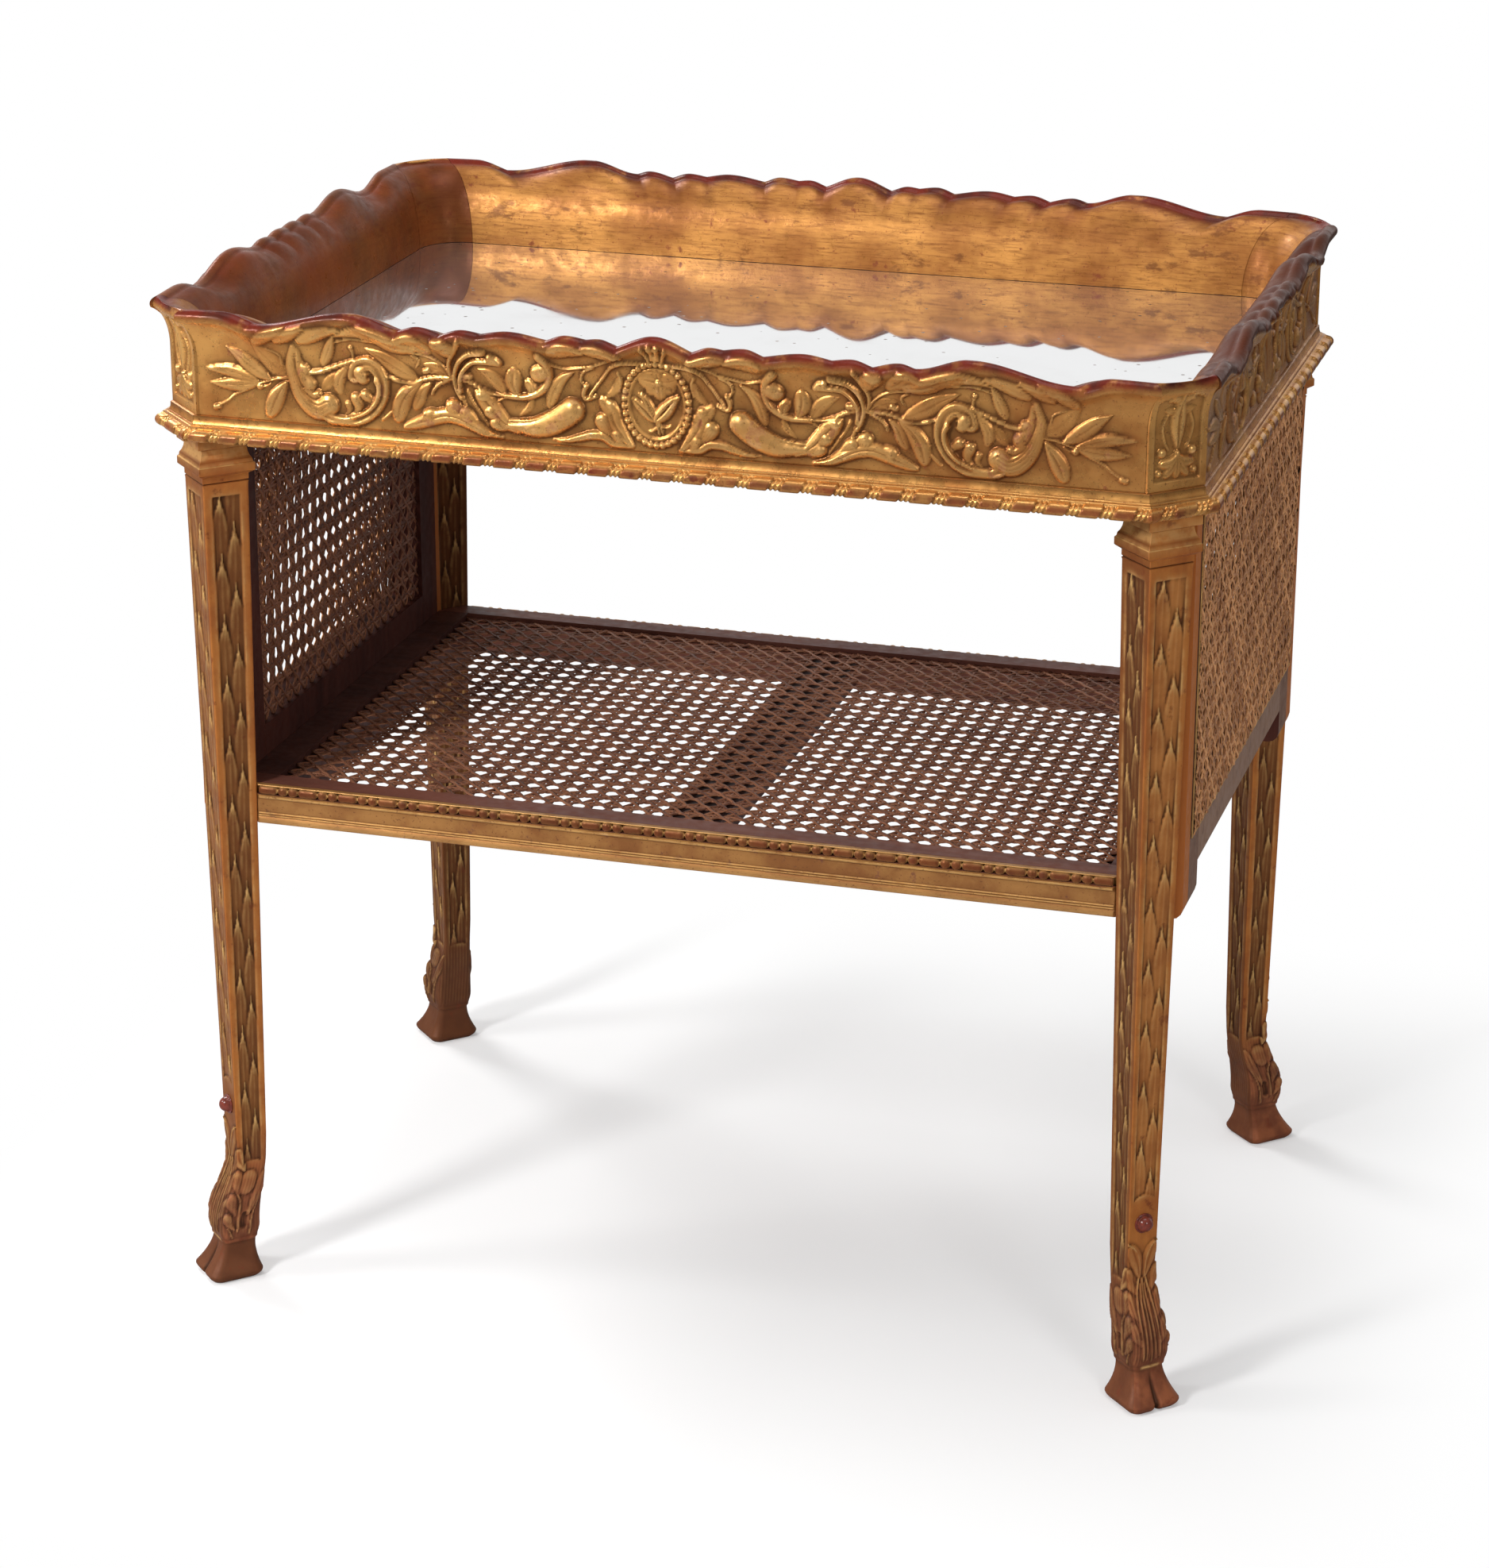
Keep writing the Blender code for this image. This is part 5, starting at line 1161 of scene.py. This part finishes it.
def leg_relief(side, x, z, half):
    """Carving of one side of the leg: leaves in a sunk panel, lobes and hair on the knee, the cleft."""

    def hair(depth, pitch, sway, wave):
        return depth * np.cos(x * MM * 2 * np.pi / pitch + sway * np.sin(z * wave))

    if side:
        foot = SIDE_PANEL_Z + 0.004 * np.sqrt(clipped(1 - (x / 0.009) ** 2))
        reach = half * 0.62
    else:
        foot = FRONT_PANEL_Z + 0.006 * (1 - (x / 0.011) ** 2)
        reach = half * 0.70
    into = np.minimum(reach - np.abs(x), np.minimum(z - foot, PANEL_TOP_Z - z))
    panel = clipped(into / PANEL_WALL)
    if side == 0:
        knee, fur = carve(x * MM, z * MM, KNEE_FRONT) / MM, hair(0.00022, 2.3, 3, 90)
    elif side == 2:
        knee, fur = 0, hair(0.00014, 2.8, 2, 80)
    else:
        lean = -1 if side == 1 else 1
        knee, fur = carve(x * MM * lean, z * MM, KNEE_SIDE) / MM, hair(0.00012, 2.6, 2, 110)
    furry = clipped((z - 0.033) / 0.006) * clipped((KNEE_TOP_Z - z) / 0.02)
    height = np.where(panel > 0, panel * (leaf_scales(x, z, reach) - PANEL_SINK), knee + fur * furry)
    height = height + bell((z - ANKLE_LINE_Z) / 0.0011) * 0.0007
    if side == 0:
        height = height - CLEFT_DEPTH * clipped(1 - z / HOOF_HEIGHT) * bell(x / CLEFT_HALF)
    return height, panel


def quarter_turns(px, py, turns):
    for _ in range(turns):
        px, py = -py, px
    return px, py


def leg_rings():
    """Points of a leg's shaft in its own axes, with the values that its gilding reads."""
    shaft = np.arange(SHAFT_FOOT_Z, LEG_BAND_Z - SHAFT_STOP, LEG_STEP)
    z = np.concatenate([SOLE_LEVELS, shaft])[:, None]
    half, bow, rounding = leg_shape(z)
    share = np.linspace(-1, 1, SIDE_POINTS + 1)[None, :-1]
    sign, t = np.sign(share), np.abs(share) ** 0.92
    rows, fields = [], {"hollow": [], "gilt_and_highlight": [], "inset": [], "low": [], "shade": []}
    for side in range(4):
        arc = clipped((t - (1 - rounding)) / rounding) * np.pi / 4
        radius = rounding * half
        px = half - radius + radius * np.cos(arc)
        py = (np.minimum(t, 1 - rounding) * half + radius * np.sin(arc)) * sign
        height, panel = leg_relief(side, py, z + 0 * py, half)
        low = clipped((0.122 - z) / 0.055) + 0 * py
        # Painted highlight on the carving's edges, weaker on the foot and none below the ankle line
        gilt_and_highlight = clipped((height - blurred(height, 2.4)) / 0.0006) * (1 - 0.7 * low)
        gilt_and_highlight = gilt_and_highlight * clipped((z - ANKLE_LINE_Z - 0.002) / 0.002)
        # A gilt line round the front at the ankle
        if side == 0:
            middle = clipped((0.0085 - np.abs(py)) / 0.002)
            gilt_and_highlight = np.maximum(gilt_and_highlight, middle * bell((z - ANKLE_LINE_Z) / 0.0013))
        # Painted shade in the creases
        fields["hollow"].append(clipped((blurred(height, 1.6) - height) / 0.00042))
        fields["gilt_and_highlight"].append(gilt_and_highlight)
        fields["inset"].append(panel)
        fields["low"].append(low)
        # Painted shade in the panels of the three side faces
        fields["shade"].append(panel * (0.65 if side else 0.0))
        px, py = quarter_turns(px + np.cos(arc) * height, py + np.sin(arc) * sign * height, side)
        rows.append(np.stack([px + bow, py, z + 0 * px], -1))
    return np.concatenate(rows, 1), {key: np.concatenate(parts, 1) for key, parts in fields.items()}


def leg_mesh():
    """Points and values of a leg with its capital, and the number of rings below the capital."""
    body, values = leg_rings()
    share = np.linspace(-1, 1, SIDE_POINTS + 1)[:-1]
    cap = []
    for level, half in CAPITAL:
        ring = []
        for side in range(4):
            px, py = quarter_turns(np.full(SIDE_POINTS, half), share * half, side)
            ring.append(np.stack([px, py, np.full(SIDE_POINTS, level)], -1))
        cap.append(np.concatenate(ring))
    for key, field in values.items():
        levels = {"gilt_and_highlight": CAPITAL_GILT_AND_HIGHLIGHT, "hollow": CAPITAL_SHADE}.get(key, {})
        top = [np.full(field.shape[1], levels.get(number, 0.0)) for number in range(len(CAPITAL))]
        values[key] = np.vstack([field, np.array(top)])
    return np.concatenate([body, np.array(cap)]), values, len(body)


def build_legs():
    points, values, first = leg_mesh()
    cols = points.shape[1]
    arris = np.zeros(cols, bool)
    arris[::SIDE_POINTS] = True

    def crisp(ends):
        row, col = ends // cols, ends % cols
        along = (col[:, 0] == col[:, 1]) & arris[col[:, 0]] & (row.min(1) > first - ROUNDED_ROWS)
        round_ring = (row[:, 0] == row[:, 1]) & (row[:, 0] >= first)
        return along | round_ring | ((row[:, 0] == 0) & (row[:, 1] == 0))

    for name, sign_x, sign_y, turn in CORNERS:
        face = slice(SHADED_SIDE[name] * SIDE_POINTS, (SHADED_SIDE[name] + 1) * SIDE_POINTS)
        shade = values["shade"].copy()
        # Painted shade over the whole face that looks towards the front left
        shade[:, face] = 0.60 + 0.40 * shade[:, face]
        # The back left leg, all of it in painted shade
        if name == "bl":
            shade = np.maximum(shade, 0.85)
        # Painted shade on the front left leg's hoof
        if name == "fl":
            shade = np.maximum(shade, 0.75 * (points[:, :, 2] < HOOF_HEIGHT))
        placed = turn_z(points, turn, (sign_x * LEG_X, sign_y * LEG_Y, 0))
        lofted("carved_", f"leg_{name}", placed, LEG_GILT, {**values, "shade": shade}, crisp)
        build_boss(name, sign_x, sign_y, turn)


BOSS_Z = 0.140
BOSS_RADIUS = 0.0061
BOSS_RISE = 0.0068
BOSS_FOOT = 0.0007
BOSS_STEPS = 12
BOSS_POINTS = 40
BOSS_RIM = (
    (-0.0008, 0.0062), (-0.0008, 0.0074), (0.0004, 0.0076), (0.0009, 0.0073),
    (0.0010, 0.0066), (0.0007, 0.0062),
)


def build_boss(name, sign_x, sign_y, turn):
    """Red cabochon in a thin turned rim."""
    profile = list(BOSS_RIM)
    for bend in np.linspace(0, math.pi / 2, BOSS_STEPS + 1)[1:-1]:
        profile.append((BOSS_FOOT + BOSS_RISE * math.sin(bend), BOSS_RADIUS * math.cos(bend)))
    profile.append((BOSS_FOOT + BOSS_RISE, 0.0002))
    spin = np.linspace(0, 2 * np.pi, BOSS_POINTS, endpoint=False)
    rings = np.array([[(x, r * math.cos(a), r * math.sin(a)) for a in spin] for x, r in profile])
    seat = leg_half(BOSS_Z) + GAP
    at = (sign_x * LEG_X + seat * math.cos(turn), sign_y * LEG_Y + seat * math.sin(turn), BOSS_Z)
    lofted("domed_", f"leg_boss_{name}", turn_z(rings, turn, at), RED)


# Stage: floor, light and camera

FLOOR_REACH = 30.0
FLOOR_SHADED = 0.28


def build_floor():
    """Pale floor that keeps the table's shadow and turns to white away from it. Gloss sees it as grey."""
    corners = [(x * FLOOR_REACH, y * FLOOR_REACH, 0) for x, y in ((-1, -1), (1, -1), (1, 1), (-1, 1))]
    mesh = bpy.data.meshes.new("floor")
    mesh.from_pydata(corners, [], [(0, 1, 2, 3)])
    floor = bpy.data.objects.new("floor", mesh)
    look = Look("floor_white", Roughness=0.9, Base_Color=(0.92, 0.92, 0.92), Specular_IOR_Level=0.1)
    place = look.split(look.place)
    beside = look.span(look.math("ABSOLUTE", place["X"]), 0.37, 0.62, FLOOR_SHADED)
    behind = look.span(look.math("ABSOLUTE", place["Y"]), 0.32, 0.66, FLOOR_SHADED)
    path = look.node("LightPath")
    seen = look.most(path["Is Camera Ray"], path["Is Transmission Ray"])
    white = look.times(look.most(beside, behind), seen)
    shown = look.turned(white, look.shader.outputs[0], look.node("Emission")[0])
    grey = look.node("BsdfDiffuse", {"Color": (0.30, 0.30, 0.30)})[0]
    shown = look.turned(path["Is Glossy Ray"], shown, grey)
    look.feed(look.tree.nodes["Material Output"].inputs["Surface"], shown)
    mesh.materials.append(look.made)
    bpy.context.scene.collection.objects.link(floor)


def build_world():
    """White behind the table for the camera, a soft even light, and a bright wall at the back for gloss."""
    world = bpy.data.worlds.new("studio")
    bpy.context.scene.world = world
    world.use_nodes = True
    sky = Graph(world.node_tree)

    def background(strength):
        return sky.node("Background", {"Color": (1, 1, 1), "Strength": strength})[0]

    toward = sky.split(sky.node("TexCoord")["Generated"])
    wall = sky.times(sky.span(toward["Y"], 0.30, 0.8), sky.span(toward["Z"], 0.45, 0.90, 1.0, 0.0))
    path = sky.node("LightPath")
    reflected = background(sky.span(wall, 0.0, 1.0, 0.28, 0.95))
    lit = sky.turned(path["Is Glossy Ray"], background(0.24), reflected)
    lit = sky.turned(path["Is Camera Ray"], lit, background(1.0))
    lit = sky.turned(path["Is Transmission Ray"], lit, background(1.0))
    sky.feed(sky.tree.nodes["World Output"].inputs["Surface"], lit)


def area_light(name, place, aim, size, watts):
    lamp = bpy.data.lights.new(name, "AREA")
    lamp.shape = "DISK"
    lamp.size = size
    lamp.energy = watts
    made = bpy.data.objects.new(name, lamp)
    made.location = place
    toward = Vector(aim) - Vector(place)
    made.rotation_euler = toward.to_track_quat("-Z", "Y").to_euler()
    bpy.context.scene.collection.objects.link(made)


# Camera fitted to the photograph: angles, target and distance, then focal length and centre in its pixels
AZIMUTH = math.radians(16.8)
ELEVATION = math.radians(20.391)
TARGET = Vector((0.002835, -0.07645, 0.378))
DISTANCE = 3.197
PHOTO_WIDTH = 1876
PHOTO_HEIGHT = 1975
FOCAL = 5341.16
CENTRE = (929.66, 993.45)
SENSOR = 36


def build_camera():
    level = math.cos(ELEVATION)
    back = Vector((math.sin(AZIMUTH) * level, -math.cos(AZIMUTH) * level, math.sin(ELEVATION)))
    right = Vector((math.cos(AZIMUTH), math.sin(AZIMUTH), 0))
    lens = bpy.data.cameras.new("camera")
    lens.sensor_width = SENSOR
    lens.lens = SENSOR * FOCAL / PHOTO_HEIGHT
    lens.shift_x = (PHOTO_WIDTH / 2 - CENTRE[0]) / PHOTO_HEIGHT
    lens.shift_y = (CENTRE[1] - PHOTO_HEIGHT / 2) / PHOTO_HEIGHT
    lens.clip_end = 100
    camera = bpy.data.objects.new("camera", lens)
    axes = Matrix((right, back.cross(right), back)).transposed()
    camera.matrix_world = Matrix.Translation(TARGET + back * DISTANCE) @ axes.to_4x4()
    bpy.context.scene.collection.objects.link(camera)
    bpy.context.scene.camera = camera


def build_stage():
    bpy.context.scene.view_settings.view_transform = "Standard"
    build_floor()
    build_world()
    centre = (0, 0, 0.4)
    area_light("key", (-1.3, -2.1, 1.8), centre, 0.5, 48)
    area_light("left", (-1.7, -0.75, 1.15), (-0.3, -0.25, 0.7), 0.5, 13)
    area_light("right", (1.6, -1.8, 1.5), centre, 0.6, 11)
    area_light("back", (-1.9, 1.2, 2.3), centre, 0.9, 38)
    area_light("top", (0.1, -0.1, 3.0), centre, 1.8, 38)
    build_camera()


# Woven cane

CANE_PITCH = 0.0154
SWING = 0.00045
PAIR = 0.0016
STRAND_HALF = 0.00135
STRAND_THICK = 0.0009
STRAND_SECTION = ((-1.0, 0.0), (-0.72, 0.72), (0.0, 1.0), (0.72, 0.72), (1.0, 0.0))
UPRIGHT_LIFT = -0.0007
LEVEL_LIFT = -0.0004
SLANT_LIFTS = ((1, -0.0001), (-1, 0.0003))


def strand(start, end, lift, phase, tone, bag):
    """One flat strand from start to end in the sheet's plane, rising and falling as it weaves."""
    start, end = np.array(start, float), np.array(end, float)
    length = np.hypot(*(end - start))
    if length < CANE_PITCH / 2:
        return
    along = (end - start) / length
    across = np.array([-along[1], along[0]])
    count = max(2, int(round(length / (CANE_PITCH / 4))) + 1)
    s = np.linspace(0, length, count)
    middle = start + s[:, None] * along
    height = lift + SWING * np.sin(2 * np.pi * s / CANE_PITCH + phase)
    rings = []
    for side, up in STRAND_SECTION:
        flat = middle + across * side * STRAND_HALF
        rings.append(np.column_stack([flat, height + up * STRAND_THICK]))
    bag.append((np.stack(rings, 1), tone))


def clipped_diagonals(half_u, half_v, sign, shift):
    """Ends of the diagonal strands v = sign * u + offset across a sheet of this half size, a pitch apart."""
    first = math.floor(-(half_u + half_v) / CANE_PITCH)
    for number in range(first, -first + 1):
        offset = (number + 0.5) * CANE_PITCH + shift
        crossings = sorted(((-half_v - offset) * sign, (half_v - offset) * sign))
        low, high = max(-half_u, crossings[0]), min(half_u, crossings[1])
        if high - low > CANE_PITCH / 3:
            yield (low, sign * low + offset), (high, sign * high + offset)


def weave(half_u, half_v, shift_u, shift_v, seed):
    """Six-way weave over a sheet: pairs both ways and two sets of diagonals, as point rings and tones."""
    random = np.random.default_rng(seed)
    straight, slanted = [], []
    for half, other, shift, upright in ((half_u, half_v, shift_u, True), (half_v, half_u, shift_v, False)):
        count = int(half / CANE_PITCH) + 1
        lift = UPRIGHT_LIFT if upright else LEVEL_LIFT
        for number in range(-count, count + 1):
            for side in (-1, 1):
                at = number * CANE_PITCH + shift + side * PAIR
                if abs(at) > half - STRAND_HALF:
                    continue
                ends = ((at, -other), (at, other)) if upright else ((-other, at), (other, at))
                phase = np.pi * (number + (side > 0)) + (0 if upright else np.pi / 2)
                strand(*ends, lift, phase, random.random(), straight)
    for sign, lift in SLANT_LIFTS:
        for low, high in clipped_diagonals(half_u, half_v, sign, shift_v - sign * shift_u):
            strand(low, high, lift, 0.0 if sign > 0 else np.pi, random.random(), slanted)
    return straight, slanted


def strands_mesh(bag):
    points, faces, tones = [], [], []
    base = 0
    for rings, tone in bag:
        rows, cols = rings.shape[:2]
        points.append(rings.reshape(-1, 3))
        for face in loft_faces(rows, cols):
            faces.append([base + corner for corner in face])
        tones.append(np.full(rows * cols, tone))
        base += rows * cols
    return np.concatenate(points), faces, np.concatenate(tones)


SHELF_CANE_HALF = (0.3158, 0.2032)
SHELF_CANE_Z = 0.3963
SHELF_SEED = 3
PANEL_SEEDS = {"left": 9, "right": 5}
PANEL_CANE_Z = 0.534
PANEL_CANE_HALF_Z = 0.1095
OUTER_CANE_X = 0.37195
OUTER_CANE_HALF = 0.1958
OUTER_SQUEEZE = 0.97
OUTER_SLANT = 0.04
OUTER_RAISE = 0.0122
INNER_CANE_X = 0.34599
INNER_CANE_HALF = 0.1661
INNER_SHIFT = (0.01348, 0.0056)
TRIM_RADIUS = 0.0011
TRIM_SINK = 0.0005


def panel_trim(half_u, half_v):
    """Thin half-round slip round a sheet, mitred at its corners: points and faces."""
    turns = np.radians(np.linspace(0, 180, 7))
    section = [(TRIM_RADIUS * math.cos(turn), TRIM_RADIUS * math.sin(turn)) for turn in turns]
    points = []
    for sign_u, sign_v in ((-1, -1), (1, -1), (1, 1), (-1, 1)):
        for out, up in section:
            points.append((sign_u * (half_u + out), sign_v * (half_v + out), up))
    cols = len(section)
    faces = []
    for side in range(4):
        after = (side + 1) % 4
        for k in range(cols):
            step = (k + 1) % cols
            faces.append([side * cols + k, after * cols + k, after * cols + step, side * cols + step])
    return np.array(points), faces


def on_panel(points, sign, x, facing, level):
    return np.column_stack([sign * (x + facing * points[:, 2]), points[:, 0], level + points[:, 1]])


def build_cane():
    for way, bag in zip(("straight", "diagonal"), weave(*SHELF_CANE_HALF, 0.0, 0.0, SHELF_SEED)):
        points, faces, tones = strands_mesh(bag)
        points = points + (0, 0, SHELF_CANE_Z)
        piece("shelf_cane_" + way, points, faces, CANE, ["shelf_cane"], {"tone": tones})
    for side, sign in (("left", -1), ("right", 1)):
        seed = PANEL_SEEDS[side]
        straight, slanted = weave(INNER_CANE_HALF, PANEL_CANE_HALF_Z, *INNER_SHIFT, seed)
        points, faces, tones = strands_mesh(straight + slanted)
        node = f"panel_cane_{side}_inner"
        placed = on_panel(points, sign, INNER_CANE_X, -1, PANEL_CANE_Z)
        piece("woven_" + node, placed, faces, CANE, [node], {"tone": tones})
        tall = PANEL_CANE_HALF_Z + OUTER_RAISE
        half = (OUTER_CANE_HALF + OUTER_SLANT * tall) / OUTER_SQUEEZE
        straight, slanted = weave(half, tall, 0.0, -OUTER_RAISE, seed + 1)
        points, faces, tones = strands_mesh(straight + slanted)
        skewed = points[:, 0] * OUTER_SQUEEZE + OUTER_SLANT * (points[:, 1] + OUTER_RAISE)
        points[:, 0] = np.clip(skewed, -OUTER_CANE_HALF, OUTER_CANE_HALF)
        node = f"panel_cane_{side}_outer"
        placed = on_panel(points, sign, OUTER_CANE_X, 1, PANEL_CANE_Z + OUTER_RAISE)
        piece("woven_" + node, placed, faces, CANE_GOLD, [node], {"tone": tones})
        points, faces = panel_trim(OUTER_CANE_HALF + TRIM_RADIUS, tall)
        placed = on_panel(points, sign, OUTER_CANE_X - TRIM_SINK, 1, PANEL_CANE_Z + OUTER_RAISE)
        gilt_and_highlight = np.full(len(points), 0.8)
        piece(f"slip_{side}", placed, faces, SHELF_FACE_GILT, [node], {"gilt_and_highlight": gilt_and_highlight})


# Frames of the panels and the shelf


def softened(node, look, width):
    """A copy of a straight wooden part with its arrises eased."""
    made = bpy.data.objects.new("eased_" + node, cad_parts[node].data.copy())
    made.data.materials.clear()
    made.data.materials.append(look)
    bevel = made.modifiers.new("arris", "BEVEL")
    bevel.width = width
    bevel.segments = 3
    bevel.limit_method = "ANGLE"
    bevel.angle_limit = math.radians(35)
    bevel.harden_normals = True
    join(made, [node])


def build_frames():
    for side in ("left", "right"):
        for end in ("front", "back"):
            softened(f"panel_stile_{side}_{end}", STILE_WOOD, 0.0008)
        for level in ("top", "bottom"):
            softened(f"panel_rail_{side}_{level}", FRAME_WOOD, 0.0010)
        softened(f"shelf_side_rail_{side}", SHELF_WOOD, 0.0008)
    softened("shelf_stretcher", SHELF_WOOD, 0.0020)
    for side in ("front", "back"):
        softened(f"shelf_rail_{side}", SHELF_GILT, 0.0003)


# Bead and reel along the shelf's front and back

SHELF_TOP_Z = 0.400
SHELF_FACE_Y = 0.22737
SHELF_SIDES = (("front", 0.0), ("back", math.pi))
BEAD_DEPTH = 0.005
BEAD_HALF = 0.0040
BEAD_DROP = 0.0043
BEAD_SEAT = 0.0024
BEAD_FLATTENED = 0.85
BEAD_STEP = 0.0005
REEL = 0.0156
BEAD = 0.0080
REEL_END = 0.44
BEAD_NECK = 0.16


def bead_radius(s):
    """Share of the full radius along the strip: a long reel, then two beads."""
    unit = REEL + 2 * BEAD
    at = np.mod(s + unit / 2, unit) - unit / 2
    reel = clipped(1 - np.abs(at) / (REEL / 2))
    reel = 0.90 * np.sqrt(clipped(1 - (1 - np.minimum(reel / REEL_END, 1)) ** 2))
    off = np.mod(s - REEL / 2, unit)
    bead = np.mod(off, BEAD) - BEAD / 2
    ball = np.sqrt(clipped(1 - (bead / (BEAD / 2 * 0.99)) ** 2))
    return np.maximum(np.where(off < 2 * BEAD, ball, reel), BEAD_NECK)


def shelf_reach(depth, drop):
    """Half length of the shelf between the legs, at a depth behind its face and a drop below its top."""
    across = LEG_X + LEG_Y - (leg_half(SHELF_TOP_Z - drop) + GAP) * ROOT2
    return across - (SHELF_FACE_Y - depth)


def build_beads():
    across = shelf_reach(0.0, 0.0)
    s = np.arange(-across, across, BEAD_STEP)
    radius = bead_radius(s)
    turns = np.radians(np.linspace(90, -90, 13))
    centre_z = SHELF_TOP_Z - BEAD_DROP
    rows = []
    for turn in turns:
        depth = BEAD_SEAT - BEAD_FLATTENED * BEAD_HALF * radius * math.cos(turn)
        up = centre_z + BEAD_HALF * radius * math.sin(turn)
        rows.append(np.column_stack([s, depth - SHELF_FACE_Y, up]))
    back = BEAD_DEPTH - GAP - SHELF_FACE_Y + 0 * s
    for sign in (-1, 1):
        up = centre_z + sign * BEAD_HALF * np.maximum(radius, 0.3)
        rows.append(np.column_stack([s, back, up]))
    points = np.stack(rows, 1)
    bulge = np.repeat(radius[:, None], len(rows), 1)
    rim = np.append(np.abs(np.sin(turns)), (1.0, 1.0))[None, :] ** 2.5
    worn = clipped((bulge - 0.50) / 0.2) * (1 - rim)
    values = {
        "hollow": worn * 0.5,
        "high": clipped((bulge - 0.8) / 0.2) * (1 - rim),
        "lacquer": worn * 0.1,
        "umber_and_shade": worn * 0.6,
        "gilt_and_highlight": clipped(1.2 * (1 - worn)),
    }
    for side, turn in SHELF_SIDES:
        placed = turn_z(points, turn)
        lofted("turned_", f"shelf_bead_{side}", placed, BEAD_GILT, values, (-1, -2))


# Moulded front of the shelf rails: depth behind the face, drop below the top, gilt and painted highlight,
# painted shade
SHELF_FACE = (
    (0.0040, 0.0083, 0, 0.8), (0.0002, 0.0084, 0.6, 0), (-0.0004, 0.0088, 1, 0), (-0.0004, 0.0102, 0.5, 0),
    (0.0002, 0.0106, 0.2, 0.3), (0.0009, 0.0109, 0, 0.7), (0.0010, 0.0117, 0, 0.1), (0.0010, 0.0160, 0, 0),
    (0.0010, 0.0206, 0, 0.1), (0.0011, 0.0212, 0, 0.6), (0.0006, 0.0216, 0.6, 0), (0.0001, 0.0222, 1, 0),
    (0.0006, 0.0228, 0.3, 0.2), (0.0011, 0.0231, 0, 0.6), (0.0006, 0.0234, 0.5, 0), (0.0001, 0.0240, 1, 0),
    (0.0006, 0.0247, 0.3, 0.2), (0.0010, 0.0251, 0, 0.5), (0.0007, 0.0258, 0.1, 0), (0.0002, 0.0275, 0.3, 0),
    (0.0000, 0.0290, 0.5, 0), (0.0004, 0.0301, 0.2, 0), (0.0012, 0.0305, 0, 0), (0.0030, 0.0305, 0, 0),
)
SHELF_LIP = (
    (0.0046, 0.0000, 0, 0), (0.0006, 0.0000, 0.6, 0), (0.0003, 0.0004, 1, 0), (0.0006, 0.0008, 0.4, 0.2),
    (0.0046, 0.0008, 0, 0.6),
)


def build_shelf_face():
    """Gilded faces of the shelf rails: fillet, flat, two reeds and ovolo, in front a lip over the beads."""
    for side, turn in SHELF_SIDES:
        sections = {"moulded_": SHELF_FACE}
        if side == "front":
            sections["lipped_"] = SHELF_LIP
        for prefix, section in sections.items():
            ends = [
                [(sign * shelf_reach(d, h), d - SHELF_FACE_Y, SHELF_TOP_Z - h) for d, h, _, _ in section]
                for sign in (-1, 1)
            ]
            values = {"gilt_and_highlight": [row[2] for row in section] * 2, "hollow": [row[3] for row in section] * 2}
            placed = turn_z(np.array(ends), turn)
            lofted(prefix, f"shelf_rail_{side}", placed, SHELF_FACE_GILT, values, 40)


def dress(node, look):
    """Better material on a part whose shape stays as it is."""
    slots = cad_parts[node].data.materials
    slots.clear()
    slots.append(look)


build_stage()
build_gallery()
build_base()
build_legs()
build_cane()
build_frames()
build_beads()
build_shelf_face()
dress("mirror_plate", MIRROR)
dress("tray_board", BOARD_WOOD)
